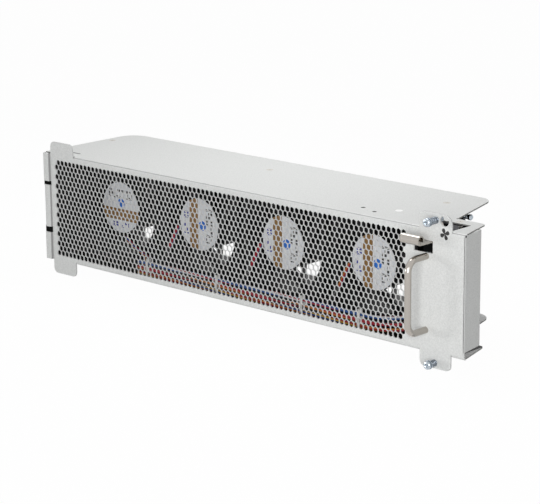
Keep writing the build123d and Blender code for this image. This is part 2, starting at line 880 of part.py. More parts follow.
# Return spring: a few turns round the pin, one arm under the tail and one against the bracket
coil_radius = pivot_radius + spring_clearance + spring_wire_radius
coil_pitch = 2 * spring_wire_radius + spring_coil_gap
coil_start_x = leg_low_x + sheet + spring_wire_radius + spring_end_gap
with BuildPart() as latch_spring:
    with BuildLine() as spring_line:
        coil = Helix(
            pitch=coil_pitch,
            height=coil_pitch * spring_turns,
            radius=coil_radius,
            center=(coil_start_x, pivot_y, pivot_z),
            direction=(1, 0, 0),
        )
    with BuildSketch(Plane(origin=coil @ 0, z_dir=coil % 0)):
        RegularPolygon(spring_wire_radius, 6)
    sweep(is_frenet=True)
save(latch_spring.part, "latch_spring")

# Captive screws in the right ears: screw, washer under its head, and spring against the ear
for place, reach in captive_reach.items():
    screw_z = captive_z[place]
    washer_depth = captive_head_height - reach
    thread_depth = sheet + captive_running_gap

    with BuildPart() as captive_screw:
        with BuildSketch(facing(thread_depth)):
            with Locations((captive_x, screw_z)):
                Circle(captive_neck_radius)
        extrude(amount=thread_depth + reach - captive_head_height)
        with BuildSketch(facing(thread_depth + captive_thread_length)):
            with Locations((captive_x, screw_z)):
                Circle(captive_thread_radius)
        extrude(amount=captive_thread_length)
        tip_edge = captive_screw.edges().filter_by(GeomType.CIRCLE).sort_by(Axis.Y)[-1]
        chamfer(tip_edge, captive_thread_radius / 4)
        with BuildSketch(facing(washer_depth)):
            with Locations((captive_x, screw_z)):
                Circle(captive_head_radius)
        extrude(amount=captive_head_height)
        head_edge = captive_screw.edges().filter_by(GeomType.CIRCLE).sort_by(Axis.Y)[0]
        fillet(head_edge, captive_head_height / 3)
        with BuildSketch(facing(captive_recess - reach)):
            with Locations((captive_x, screw_z)):
                Rectangle(captive_head_radius, captive_recess_width)
                Rectangle(captive_recess_width, captive_head_radius)
        extrude(amount=captive_recess, mode=Mode.SUBTRACT)
    save(captive_screw.part, f"captive_screw_{place}")

    with BuildPart() as captive_washer:
        with BuildSketch(facing(washer_depth + washer_thickness)):
            with Locations((captive_x, screw_z)):
                Circle(washer_radius)
                Circle(captive_neck_radius + washer_clearance, mode=Mode.SUBTRACT)
        extrude(amount=washer_thickness)
    save(captive_washer.part, f"captive_washer_{place}")

    spring_room = -(washer_depth + washer_thickness) - 2 * (captive_wire_radius + captive_end_gap)
    with BuildPart() as captive_spring:
        with BuildLine() as captive_line:
            turns = Helix(
                pitch=spring_room / captive_turns,
                height=spring_room,
                radius=captive_coil_radius,
                center=(captive_x, front_y - captive_wire_radius - captive_end_gap, screw_z),
                direction=(0, -1, 0),
            )
        with BuildSketch(Plane(origin=turns @ 0, z_dir=turns % 0)):
            RegularPolygon(captive_wire_radius, 6)
        sweep(is_frenet=True)
    save(captive_spring.part, f"captive_spring_{place}")

# Fan bracket: one plate behind the fans, with a round opening for each and tabs for the screws
plate_depth = fan_front_depth + fan_depth
with BuildPart() as fan_bracket:
    bar(
        left_wall_x + sheet + wall_bend_inside,
        bay_x - bracket_right_gap,
        plate_depth,
        plate_depth + bracket_sheet,
        inner_bottom_z + sheet,
        inner_top_z - sheet,
    )
    bar(
        left_wall_x + left_wall_flange,
        bay_x - bracket_right_gap,
        plate_depth,
        plate_depth + bracket_sheet,
        inner_bottom_z,
        inner_top_z,
    )
    for tab_x, tab_y in top_screw_places[1:3]:
        for tab_low_z in (inner_bottom_z, inner_top_z - bracket_sheet):
            bar(
                tab_x - bracket_tab_width / 2,
                tab_x + bracket_tab_width / 2,
                plate_depth - bracket_tab_depth,
                plate_depth,
                tab_low_z,
                tab_low_z + bracket_sheet,
            )
    with BuildSketch(facing(plate_depth + bracket_sheet)):
        with Locations([(x, middle_z) for x in fan_x]):
            Circle(fan_bore_radius + bracket_bore_gap)
            with GridLocations(fan_hole_spacing, fan_hole_spacing, 2, 2):
                Circle(fan_screw_radius + fan_screw_clearance)
    extrude(amount=bracket_sheet, mode=Mode.SUBTRACT)
    with Locations([(x, y, middle_z) for x, y in top_screw_places[1:3]]):
        Cylinder(screw_shank_radius + screw_clearance, panel_height, mode=Mode.SUBTRACT)
save(fan_bracket.part, "fan_bracket")

with BuildPart() as fan_screws:
    with BuildSketch(facing(plate_depth + bracket_sheet)):
        with Locations([(x, middle_z) for x in fan_x]):
            with GridLocations(fan_hole_spacing, fan_hole_spacing, 2, 2):
                Circle(fan_screw_radius)
    extrude(amount=fan_screw_length)
    with BuildSketch(facing(plate_depth + bracket_sheet + fan_screw_head)):
        with Locations([(x, middle_z) for x in fan_x]):
            with GridLocations(fan_hole_spacing, fan_hole_spacing, 2, 2):
                RegularPolygon(fan_screw_flats / 2, 6, major_radius=False)
    extrude(amount=fan_screw_head)
save(fan_screws.part, "fan_screws")


# Fans, each with its hub and struts towards the grille and its blades behind them
def fan_plane(number, depth):
    """Plane across fan number, at a depth behind its front face, turned with the fan."""
    turn = radians(fan_turns[number])
    return Plane(
        origin=(fan_x[number], front_y + fan_front_depth + depth, middle_z),
        x_dir=(cos(turn), 0, sin(turn)),
        z_dir=(0, -1, 0),
    )


def blade_section(number, angle, radius, chord, blade_angle):
    """Thin cambered section of one blade, on a plane square to the radius."""
    outward = (cos(radians(angle)), 0, sin(radians(angle)))
    around = (-sin(radians(angle)), 0, cos(radians(angle)))
    blade_middle = (rotor_front + blade_front_gap + rotor_rear) / 2
    origin = (
        fan_x[number] + radius * outward[0],
        front_y + fan_front_depth + blade_middle,
        middle_z + radius * outward[2],
    )
    lean = radians(blade_angle)
    end = (chord / 2 * cos(lean), chord / 2 * sin(lean))
    convex = blade_camber + blade_thickness / 2
    concave = blade_camber - blade_thickness / 2
    start = (-end[0], -end[1])
    with BuildLine() as profile:
        ThreePointArc(start, (convex * sin(lean), -convex * cos(lean)), end)
        ThreePointArc(end, (concave * sin(lean), -concave * cos(lean)), start)
    with BuildSketch(Plane(origin=origin, x_dir=around, z_dir=outward)) as section:
        make_face(profile.edges())
    return section.sketch


rotor_front = fan_hub_plate + rotor_front_gap
rotor_rear = fan_depth - rotor_rear_gap
bearing_depths = [
    fan_hub_plate + bearing_width + bearing_inset,
    bearing_tube_depth - bearing_inset,
]

for number in range(fan_count):
    name = f"fan_{number + 1}"

    with BuildPart() as fan_frame:
        for flange_rear in (fan_flange, fan_depth):
            with BuildSketch(fan_plane(number, flange_rear)):
                RectangleRounded(fan_size, fan_size, fan_corner_radius)
                with GridLocations(fan_hole_spacing, fan_hole_spacing, 2, 2):
                    Circle(fan_hole_radius, mode=Mode.SUBTRACT)
            extrude(amount=fan_flange)
        with BuildSketch(fan_plane(number, fan_depth)):
            Circle(fan_bore_radius + fan_shroud_wall)
        extrude(amount=fan_depth)
        with BuildSketch(fan_plane(number, fan_depth)):
            Circle(fan_bore_radius)
        extrude(amount=fan_depth, mode=Mode.SUBTRACT)
        rims = fan_frame.edges().filter_by(GeomType.CIRCLE).group_by(SortBy.RADIUS)[-2]
        chamfer(rims, fan_mouth)
        with BuildSketch(fan_plane(number, fan_hub_plate)):
            Circle(fan_hub_radius)
        extrude(amount=fan_hub_plate)
        with BuildSketch(fan_plane(number, strut_depth)):
            with PolarLocations(strut_middle_radius, strut_count, strut_middle_angle):
                Rectangle(strut_length, strut_width, rotation=strut_lean)
            Circle(fan_hub_radius - 1, mode=Mode.SUBTRACT)
        extrude(amount=strut_depth)
        with BuildSketch(fan_plane(number, bearing_tube_depth)):
            Circle(bearing_tube_radius)
            Circle(bearing_bore_radius, mode=Mode.SUBTRACT)
        extrude(amount=bearing_tube_depth - fan_hub_plate)
    save(fan_frame.part, f"{name}_frame")

    with BuildPart() as fan_bearings:
        for bearing_rear in bearing_depths:
            with BuildSketch(fan_plane(number, bearing_rear)):
                Circle(bearing_radius)
                Circle(shaft_radius + running_clearance, mode=Mode.SUBTRACT)
            extrude(amount=bearing_width)
    save(fan_bearings.part, f"{name}_bearings")

    with BuildPart() as fan_shaft:
        with BuildSketch(fan_plane(number, rotor_rear - rotor_wall)):
            Circle(shaft_radius)
        extrude(amount=rotor_rear - rotor_wall - fan_hub_plate - running_clearance)
    save(fan_shaft.part, f"{name}_shaft")

    with BuildPart() as fan_stator:
        with BuildSketch(fan_plane(number, rotor_front + stator_front_gap + stator_depth)):
            Circle(stator_radius)
            Circle(bearing_tube_radius + running_clearance, mode=Mode.SUBTRACT)
            with PolarLocations(stator_radius, stator_slots):
                Rectangle(stator_radius - bearing_tube_radius, stator_slot_width, mode=Mode.SUBTRACT)
        extrude(amount=stator_depth)
    save(fan_stator.part, f"{name}_stator")

    with BuildPart() as fan_rotor:
        for blade in range(blade_count):
            angle = blade_rest_angle + blade * 360 / blade_count
            root = blade_section(
                number, angle, blade_inner_plane, blade_chord_root, blade_angle_root
            )
            tip = blade_section(number, angle, fan_bore_radius, blade_chord_tip, blade_angle_tip)
            loft([root, tip])
        with BuildSketch(fan_plane(number, rotor_rear)):
            Circle(fan_bore_radius - blade_tip_gap)
        extrude(amount=rotor_rear - rotor_front - blade_front_gap, mode=Mode.INTERSECT)
        with BuildSketch(fan_plane(number, rotor_rear)):
            Circle(rotor_radius)
        extrude(amount=rotor_rear - rotor_front)
        with BuildSketch(fan_plane(number, rotor_rear - rotor_wall)):
            Circle(rotor_radius - rotor_wall)
        extrude(amount=rotor_rear - rotor_wall - rotor_front, mode=Mode.SUBTRACT)
    save(fan_rotor.part, f"{name}_rotor")

    with BuildPart() as fan_magnet:
        with BuildSketch(fan_plane(number, rotor_front + stator_front_gap + magnet_depth)):
            Circle(magnet_outer_radius)
            Circle(magnet_inner_radius, mode=Mode.SUBTRACT)
        extrude(amount=magnet_depth)
    save(fan_magnet.part, f"{name}_magnet")

    with BuildPart() as fan_label:
        with BuildSketch(fan_plane(number, 0)):
            Circle(label_radius)
        extrude(amount=label_thickness)
    save(fan_label.part, f"{name}_label")

# Liner: a dark film on the floor in front of the fans, under the harness
liner_top_z = inner_bottom_z + liner_thickness
with BuildPart() as harness_liner:
    bar(
        left_x + liner_left_gap,
        right_x - liner_right_inset,
        liner_front_depth,
        liner_rear_depth,
        inner_bottom_z,
        liner_top_z,
    )
save(harness_liner.part, "harness_liner")

# Harness: three bundles along the front of the floor, then back along the right side to the
# connector
trunk_y = front_y + harness_depth
trunk_start_x = fan_x[0] + fan_size / 4
trunk_turn_x = connector_x - harness_turn_inset
trunk_end_y = connector_front_y - lead_end_gap
harness_z = [liner_top_z + height for height in harness_heights]


def tube(points, radii, radius):
    """Round tube along straight runs joined by tangent arcs."""
    with BuildLine() as route:
        FilletPolyline(*points, radius=radii)
    start = Vector(*points[1]) - Vector(*points[0])
    with BuildSketch(Plane(origin=points[0], z_dir=start)) as section:
        Circle(radius)
    sweep(section.sketch, path=route.line)


with BuildPart() as harness_trunk:
    for bundle_z in harness_z:
        rear_z = middle_z - harness_rear_drop + bundle_z - inner_bottom_z
        tube(
            [
                (trunk_start_x, trunk_y, bundle_z),
                (trunk_turn_x, trunk_y, bundle_z),
                (connector_x, front_y + harness_turn_depth, bundle_z + harness_turn_lift),
                (connector_x, front_y + harness_rise_depth, rear_z),
                (connector_x, trunk_end_y, rear_z),
            ],
            harness_bends,
            harness_radius,
        )
save(harness_trunk.part, "harness_trunk")

tie_inner_width = 2 * (harness_radius + tie_clearance)
tie_inner_height = harness_z[-1] - harness_z[0] + tie_inner_width
with BuildPart() as cable_ties:
    for share in tie_shares:
        tie_x = trunk_start_x + share * (trunk_turn_x - trunk_start_x)
        with BuildSketch(Plane.YZ.offset(tie_x)):
            with Locations((trunk_y, (harness_z[0] + harness_z[-1]) / 2)):
                SlotOverall(
                    tie_inner_height + 2 * tie_thickness, tie_inner_width + 2 * tie_thickness, 90
                )
            with Locations((trunk_y, harness_z[-1] + harness_radius + tie_thickness)):
                Rectangle(tie_head, tie_head)
            with Locations((trunk_y, (harness_z[0] + harness_z[-1]) / 2)):
                SlotOverall(tie_inner_height, tie_inner_width, 90, mode=Mode.SUBTRACT)
        extrude(amount=tie_width)
save(cable_ties.part, "cable_ties")

# Fan leads: out of each hub along a strut, down the corner and forward to the harness
for number in range(fan_count):
    face = fan_plane(number, -lead_radius - lead_face_gap)
    hub_exit = face.from_local_coords((*lead_hub_exit, 0))
    strut_end = face.from_local_coords((*lead_strut_end, 0))
    side = 1 if fan_turns[number] else -1
    corner_x = fan_x[number] + side * lead_corner_aside
    join_y = trunk_y + harness_radius + lead_radius + lead_end_gap
    with BuildPart() as fan_lead:
        tube(
            [
                (hub_exit.X, hub_exit.Y, hub_exit.Z),
                (strut_end.X, strut_end.Y, strut_end.Z),
                (corner_x, strut_end.Y, middle_z - lead_corner_drop),
                (
                    corner_x + lead_floor_aside,
                    join_y + lead_floor_gap,
                    harness_z[0] + lead_floor_lift,
                ),
                (corner_x + lead_join_aside, join_y, harness_z[0]),
            ],
            lead_bends,
            lead_radius,
        )
    save(fan_lead.part, f"fan_{number + 1}_lead")
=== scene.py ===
"""Looks of a switch fan tray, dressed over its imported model. Every length is in metres."""

from math import atan2, ceil, cos, pi, radians, sin, sqrt, tan

import bmesh
import bpy
from mathutils import Matrix, Vector


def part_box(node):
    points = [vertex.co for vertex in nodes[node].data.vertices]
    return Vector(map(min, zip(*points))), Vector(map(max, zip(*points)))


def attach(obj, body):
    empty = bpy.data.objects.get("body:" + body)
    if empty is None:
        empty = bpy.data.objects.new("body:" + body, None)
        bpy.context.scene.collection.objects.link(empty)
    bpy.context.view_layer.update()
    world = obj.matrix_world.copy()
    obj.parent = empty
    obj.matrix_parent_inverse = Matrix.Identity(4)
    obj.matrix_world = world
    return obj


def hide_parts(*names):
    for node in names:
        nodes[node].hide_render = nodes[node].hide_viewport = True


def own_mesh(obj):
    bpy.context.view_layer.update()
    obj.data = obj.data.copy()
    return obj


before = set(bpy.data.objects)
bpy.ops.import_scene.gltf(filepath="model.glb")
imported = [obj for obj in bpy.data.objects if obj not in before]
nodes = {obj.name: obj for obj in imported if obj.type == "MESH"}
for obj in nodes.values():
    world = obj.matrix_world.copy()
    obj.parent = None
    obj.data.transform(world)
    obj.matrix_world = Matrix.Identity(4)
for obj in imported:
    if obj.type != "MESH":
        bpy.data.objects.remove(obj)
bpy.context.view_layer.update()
scene = bpy.context.scene
mm = 0.001

# Camera: a long lens, standing off to the right of the tray and a little above it. Its pose was
# solved from the mesh, whose holes are evenly spaced on a flat panel.
photo_width, photo_height = 540, 504
focal_length, optical_x, optical_y = 2087.0, 279.3, 266.3
camera = bpy.data.objects.new("camera", bpy.data.cameras.new("camera"))
scene.collection.objects.link(camera)
scene.camera = camera
camera.data.sensor_width = 36.0
camera.data.lens = 36.0 * focal_length / photo_width
camera.data.shift_x = (photo_width / 2 - optical_x) / photo_width
camera.data.shift_y = (optical_y - photo_height / 2) / photo_width
camera_right = Vector((0.7324, 0.6808, -0.0072))
camera_up = Vector((-0.1666, 0.1895, 0.9676))
camera_axes = Matrix((camera_right, camera_up, camera_right.cross(camera_up))).transposed()
camera.matrix_world = Matrix.Translation((1.0403, -1.1063, 0.4283)) @ camera_axes.to_4x4()
scene.view_settings.view_transform = "Standard"


# Front panel: one sheet of plated steel, 1 mm thick. A hexagonal mesh is punched through most of
# it, four ears stand above and below, and its left edge is pressed into three springy segments.
class Signal:
    """A socket of a shader's nodes, which takes part in sums as a number does."""

    def __init__(self, shading, socket):
        self.shading = shading
        self.socket = socket

    def __add__(self, other):
        return self.shading.maths("ADD", self, other)

    __radd__ = __add__

    def __sub__(self, other):
        return self.shading.maths("SUBTRACT", self, other)

    def __rsub__(self, other):
        return self.shading.maths("SUBTRACT", other, self)

    def __mul__(self, other):
        return self.shading.maths("MULTIPLY", self, other)

    __rmul__ = __mul__

    def __gt__(self, other):
        return self.shading.maths("GREATER_THAN", self, other)

    def __lt__(self, other):
        return self.shading.maths("LESS_THAN", self, other)

    def __abs__(self):
        return self.shading.maths("ABSOLUTE", self)


class Shading:
    """The nodes of a material or of the surround, with one way to add a node to them."""

    def __init__(self, tree):
        self.tree = tree

    def feed(self, target, value):
        """A socket takes a signal through a link, and anything else as its own value."""
        if isinstance(value, Signal):
            self.tree.links.new(value.socket, target)
        else:
            target.default_value = value

    def node(self, kind, settings=None, inputs=None, output=0):
        """A node with its settings made first, then its sockets, by name or number."""
        made = self.tree.nodes.new(kind)
        for setting, value in (settings or {}).items():
            setattr(made, setting, value)
        for socket, value in (inputs or {}).items():
            self.feed(made.inputs[socket], value)
        return Signal(self, made.outputs[output])

    def maths(self, operation, *values):
        return self.node("ShaderNodeMath", {"operation": operation}, dict(enumerate(values)))

    def distance(self, *offsets):
        """How far off a spot or an axis is, from the offsets to it along the axes."""
        return self.maths("SQRT", sum(offset * offset for offset in offsets))


class Finish(Shading):
    """A procedural finish: one Principled shader, with fixed values and nodes that vary it."""

    def __init__(self, name, color, roughness, metallic=0.0, **fixed):
        self.material = bpy.data.materials.new(name)
        self.material.use_nodes = True
        super().__init__(self.material.node_tree)
        self.shader = self.tree.nodes["Principled BSDF"]
        self.put("Base Color", (*color, 1.0))
        self.put("Roughness", roughness)
        self.put("Metallic", metallic)
        for socket, value in fixed.items():
            self.put(socket.replace("_", " "), value)

    def put(self, socket, value):
        self.feed(self.shader.inputs[socket], value)

    def axes(self, what="Object"):
        """X, Y and Z of the place on the piece, or with "Normal" of the way its surface faces."""
        where = self.node("ShaderNodeTexCoord", output=what)
        parts = self.node("ShaderNodeSeparateXYZ", inputs={0: where}).socket.node.outputs
        return [Signal(self, part) for part in parts]

    def noise(self, scale, detail=2.0):
        where = self.node("ShaderNodeTexCoord", output="Object")
        return self.node(
            "ShaderNodeTexNoise", inputs={"Vector": where, "Scale": scale, "Detail": detail}
        )

    def blend(self, factor, first, second):
        """Colour between two colours or signals."""
        colors = [(*c, 1.0) if isinstance(c, tuple) else c for c in (first, second)]
        return self.node(
            "ShaderNodeMix",
            {"data_type": "RGBA"},
            {0: factor, 6: colors[0], 7: colors[1]},
            output=2,
        )


def fit(piece, finish, slot, body, *replaced):
    """Puts a piece in the scene with its finish, on its body and in place of CAD nodes."""
    scene.collection.objects.link(piece)
    piece.data.materials.append(finish.material)
    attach(piece, body)
    if replaced:
        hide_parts(*replaced)


def dress(finish, *names):
    """Gives CAD nodes a finish."""
    for name in names:
        for holder in nodes[name].material_slots:
            holder.material = finish.material


def rounded(corners, steps=5):
    """Points of a closed outline from corners given as (x, y, radius)."""
    points = []
    for index, (x, y, radius) in enumerate(corners):
        here = Vector((x, y))
        if radius == 0:
            points.append(here)
            continue
        before = (Vector(corners[index - 1][:2]) - here).normalized()
        after = (Vector(corners[(index + 1) % len(corners)][:2]) - here).normalized()
        half = before.angle(after) / 2
        centre = here + (before + after).normalized() * radius / sin(half)
        start = here + before * radius / tan(half) - centre
        end = here + after * radius / tan(half) - centre
        turn = atan2(start.cross(end), start.dot(end))
        for step in range(steps + 1):
            angle = turn * step / steps
            spoke = Vector((start.x * cos(angle) - start.y * sin(angle),
                            start.x * sin(angle) + start.y * cos(angle)))
            points.append(centre + spoke)
    return points


def ring(x, y, radius, sides, start=0.0):
    """Points round a circle or a regular polygon."""
    angles = [start + 2 * pi * side / sides for side in range(sides)]
    return [Vector((x + radius * cos(angle), y + radius * sin(angle))) for angle in angles]


def arc(x, y, radius, start, sweep, steps, squeeze=1.0):
    """Points along an arc, both ends included, with its height squeezed where it is no circle."""
    angles = [start + sweep * step / steps for step in range(steps + 1)]
    return [(x + radius * cos(angle), y + squeeze * radius * sin(angle)) for angle in angles]


def slab(outline, thickness, holes=(), matrix=Matrix()):
    """Mesh of a flat sheet between z 0 and its thickness, with holes, then moved by a matrix."""
    curve = bpy.data.curves.new("outline", "CURVE")
    curve.dimensions = "2D"
    curve.fill_mode = "BOTH"
    curve.extrude = thickness / 2
    for loop in (outline, *holes):
        spline = curve.splines.new("POLY")
        spline.points.add(len(loop) - 1)
        for point, spot in zip(spline.points, loop):
            point.co = (spot[0], spot[1], 0, 1)
        spline.use_cyclic_u = True
    holder = bpy.data.objects.new("outline", curve)
    mesh = bpy.data.meshes.new_from_object(holder)
    bpy.data.objects.remove(holder)
    bpy.data.curves.remove(curve)
    mesh.transform(matrix @ Matrix.Translation((0, 0, thickness / 2)))
    return mesh


def joined(name, meshes, smooth_angle=radians(35)):
    """One object made of several meshes."""
    shape = bmesh.new()
    for mesh in meshes:
        shape.from_mesh(mesh)
        bpy.data.meshes.remove(mesh)
    bmesh.ops.remove_doubles(shape, verts=shape.verts, dist=1e-6)
    bmesh.ops.recalc_face_normals(shape, faces=shape.faces)
    mesh = bpy.data.meshes.new(name)
    shape.to_mesh(mesh)
    shape.free()
    mesh.shade_smooth()
    mesh.set_sharp_from_angle(angle=smooth_angle)
    piece = bpy.data.objects.new(name, mesh)
    piece.modifiers.new("flat_faces", "WEIGHTED_NORMAL").keep_sharp = True
    return piece


# Local X, Y, Z of a sheet's mesh along the tray's X, Z, -Y, or its Y, Z, X
upright = Matrix(((1, 0, 0, 0), (0, 0, -1, 0), (0, 1, 0, 0), (0, 0, 0, 1)))
sideways = Matrix(((0, 0, 1, 0), (1, 0, 0, 0), (0, 1, 0, 0), (0, 0, 0, 1)))

panel_low, panel_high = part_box("front_panel")
sheet = 1.0 * mm
bend_outside = 1.8 * mm
bend_inside = 0.8 * mm
bend_end = 2.0 * mm
front_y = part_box("handle")[1].y
left_x = panel_low.x
right_x = panel_high.x
bottom_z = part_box("bottom_cover")[0].z
inner_top_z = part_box("top_cover")[0].z
top_z = inner_top_z + sheet
panel_left_x = left_x + 7.7 * mm
left_ear_right_x = panel_left_x + 26.5 * mm
left_ear_top_z = top_z + 9.5 * mm
right_ear_left_x = right_x - 39.8 * mm
right_ear_right_x = right_x - 11.5 * mm
low_ear_left_x = right_x - 38.3 * mm
low_ear_right_x = right_x - 11.2 * mm
ear_radius = 4.2 * mm
tip_radius = 6.6 * mm
relief_radius = 0.9 * mm

hole_pitch = 4.5 * mm
hole_radius = 2.42 * mm
hole_corner = 0.6 * mm
hole_rows = 20
hole_columns = 80
first_hole_x = -198.55 * mm
first_hole_z = 91.05 * mm

slot_left_x = right_x - 44.4 * mm
slot_right_x = right_x - 27.8 * mm
slot_top_z = top_z - 8.8 * mm
slot_bottom_z = top_z - 17.6 * mm
slot_corner = 0.5 * mm
alignment_x = right_x - 18.0 * mm
alignment_z = top_z + 6.5 * mm
alignment_radius = 3.7 * mm


def grained(name):
    """Finish of fine-grained plated sheet, and the colour signal of its grain."""
    finish = Finish(name, (0.68, 0.69, 0.68), 0.5)
    grain = finish.noise(1100.0, 1.0)
    color = finish.blend(grain, (0.57, 0.58, 0.57), (0.81, 0.82, 0.81))
    finish.put("Base Color", color)
    finish.put("Roughness", 0.42 + 0.2 * grain)
    return finish, color


panel_steel, panel_color = grained("panel_steel")
panel_x, panel_y, panel_z = panel_steel.axes()
panel_facing = panel_steel.axes("Normal")

# Painted shade: dark lines where the bends meet the covers and along the spring edge's step
bend_shade_y = front_y + 0.45 * mm
bend_shade_low_z = top_z - 1.2 * mm
step_shade_x = panel_left_x - 0.5 * mm
bend_shade_line = (abs(panel_y - bend_shade_y) < 0.22 * mm) * (panel_z > bend_shade_low_z)
step_shade_line = abs(panel_x - step_shade_x) < 0.4 * mm
panel_color = panel_steel.blend(step_shade_line, panel_color, (0.30, 0.30, 0.30))
panel_color = panel_steel.blend(bend_shade_line, panel_color, (0.40, 0.40, 0.40))

# Painted light: the cut walls of the holes made brighter, clear of the panel's own edges
panel_middle_x = (panel_left_x + right_x) / 2
panel_middle_z = (bottom_z + top_z) / 2
holed_half_width = (right_x - panel_left_x) / 2 - 2.0 * mm
holed_half_height = (top_z - bottom_z) / 2 - 3.0 * mm
hole_wall_highlight = (
    (abs(panel_facing[1]) < 0.5)
    * (panel_y < front_y + 1.2 * sheet)
    * (abs(panel_x - panel_middle_x) < holed_half_width)
    * (abs(panel_z - panel_middle_z) < holed_half_height)
)
panel_color = panel_steel.blend(hole_wall_highlight, panel_color, (0.80, 0.80, 0.80))

# Painted shade: a black spot for the corner relief, where the top bend meets the wall at the
# right end
relief_y = front_y + 0.8 * mm
relief_z = top_z - 1.4 * mm
relief_shade_distance = panel_steel.distance(panel_x - right_x, panel_y - relief_y, panel_z - relief_z)
panel_color = panel_steel.blend(relief_shade_distance < relief_radius, panel_color, (0.01, 0.01, 0.01))
panel_steel.put("Base Color", panel_color)

flat_top_z = top_z - bend_outside
flat_bottom_z = bottom_z + bend_outside
panel_outline = rounded(
    [
        (panel_left_x, 0, ear_radius),
        (left_ear_right_x, 0, ear_radius),
        (left_ear_right_x, flat_bottom_z, 0),
        (low_ear_left_x, flat_bottom_z, 0),
        (low_ear_left_x, 0, ear_radius),
        (low_ear_right_x, 0, ear_radius),
        (low_ear_right_x, flat_bottom_z, 0),
        (right_x, flat_bottom_z, 0),
        (right_x, flat_top_z, 0),
        (right_ear_right_x, flat_top_z, 0),
        (right_ear_right_x, panel_high.z, tip_radius),
        (right_ear_left_x, panel_high.z, ear_radius),
        (right_ear_left_x, flat_top_z, 0),
        (left_ear_right_x, flat_top_z, 0),
        (left_ear_right_x, left_ear_top_z, ear_radius),
        (panel_left_x, left_ear_top_z, ear_radius),
    ]
)
panel_holes = [
    rounded(
        [
            (slot_left_x, slot_bottom_z, slot_corner),
            (slot_right_x, slot_bottom_z, slot_corner),
            (slot_right_x, slot_top_z, slot_corner),
            (slot_left_x, slot_top_z, slot_corner),
        ]
    ),
    ring(alignment_x, alignment_z, alignment_radius, sides=40),
]
for row in range(hole_rows):
    shift = hole_pitch / 2 if row % 2 == 0 else 0.0
    hole_z = first_hole_z - row * hole_pitch * sqrt(3) / 2
    for column in range(hole_columns):
        hole_x = first_hole_x + shift + column * hole_pitch
        hexagon = ring(hole_x, hole_z, hole_radius, sides=6, start=pi / 6)
        panel_holes.append(rounded([(*corner, hole_corner) for corner in hexagon], steps=2))

plate = slab(
    panel_outline,
    sheet,
    panel_holes,
    Matrix.Translation((0, front_y + sheet, 0)) @ upright,
)
fit(joined("front_panel_sheet", [plate]), panel_steel, "panel_finish", "tray", "front_panel")


# Folds of the panel: the bends towards the covers, the spring edge on the left, and the wall at
# the right end. The edge segments step forward, and the middle one bulges round.
def quarter_bend(high):
    """Profile in Y and Z of the bend at the panel's top, or at its bottom."""
    edge_z = top_z if high else bottom_z
    inward = -1 if high else 1
    centre_y = front_y + bend_outside
    centre_z = edge_z + inward * bend_outside
    outer, inner = (
        arc(centre_y, centre_z, radius, start=pi, sweep=inward * pi / 2, steps=6)
        for radius in (bend_outside, bend_inside)
    )
    end_y = front_y + bend_end
    return [*outer, (end_y, edge_z), (end_y, edge_z + inward * sheet), *reversed(inner)]


window_left_x = right_x - 38.8 * mm
window_right_x = right_x - 13.5 * mm
bend_runs = [
    (True, left_ear_right_x + relief_radius, window_left_x),
    (True, window_right_x, right_x),
    (False, left_ear_right_x + relief_radius, low_ear_left_x - relief_radius),
    (False, low_ear_right_x + relief_radius, right_x),
]
folds = []
for high, start_x, end_x in bend_runs:
    place = Matrix.Translation((start_x, 0, 0)) @ sideways
    folds.append(slab(quarter_bend(high), end_x - start_x, matrix=place))

edge_step = 2.0 * mm
edge_return = 2.4 * mm
step_y = front_y - edge_step
stepped_profile = rounded(
    [
        (panel_left_x, front_y, 0),
        (panel_left_x - sheet, step_y, 0.5 * mm),
        (left_x, step_y, bend_outside),
        (left_x, step_y + sheet + edge_return, 0),
        (left_x + sheet, step_y + sheet + edge_return, 0),
        (left_x + sheet, step_y + sheet, bend_inside),
        (panel_left_x - 1.6 * sheet, step_y + sheet, 0),
        (panel_left_x - 0.6 * sheet, front_y + sheet, 0),
        (panel_left_x, front_y + sheet, 0),
    ],
    steps=4,
)
bulge_x = (left_x + panel_left_x) / 2
bulge_radius = (panel_left_x - left_x) / 2
bulge_outer_rise = edge_step + sheet / 2
bulge_inner_rise = edge_step - sheet / 2
rolled_profile = []
for radius, foot_y, rise in (
    (bulge_radius, front_y + sheet / 2, bulge_outer_rise),
    (bulge_radius - sheet, front_y + sheet, bulge_inner_rise),
):
    side_points = arc(bulge_x, foot_y, radius, 0, -pi, steps=14, squeeze=rise / radius)
    rolled_profile += reversed(side_points) if rolled_profile else side_points
edge_margin = 0.5 * mm
upper_gap_high_z = top_z - 23.0 * mm
upper_gap_low_z = top_z - 26.0 * mm
lower_gap_high_z = top_z - 60.4 * mm
lower_gap_low_z = top_z - 64.9 * mm
edge_segments = [
    (stepped_profile, upper_gap_high_z, top_z - edge_margin),
    (rolled_profile, lower_gap_high_z, upper_gap_low_z),
    (stepped_profile, bottom_z + edge_margin, lower_gap_low_z),
]
for profile, low_z, high_z in edge_segments:
    folds.append(slab(profile, high_z - low_z, matrix=Matrix.Translation((0, 0, low_z))))

wall_depth = 22.5 * mm
wall_slant = radians(10.2)
wall_hem = 1.4 * mm
wall_end_x = right_x - wall_depth * sin(wall_slant)
wall_end_y = front_y + wall_depth
hem_x = wall_end_x - sheet - wall_hem
wall_profile = rounded(
    [
        (right_x, front_y, 0.3 * mm),
        (wall_end_x, wall_end_y, 0.6 * mm),
        (hem_x, wall_end_y, 0),
        (hem_x, wall_end_y - sheet, 0),
        (wall_end_x - sheet, wall_end_y - sheet, 0),
        (right_x - sheet, front_y + sheet, 0),
        (right_x - sheet, front_y, 0),
    ],
    steps=3,
)
wall_low_z = bottom_z + 5.2 * mm
folds.append(
    slab(wall_profile, inner_top_z - wall_low_z, matrix=Matrix.Translation((0, 0, wall_low_z)))
)
fold_piece = joined("front_panel_folds", folds)
fit(fold_piece, panel_steel, "panel_finish", "tray", "front_panel")
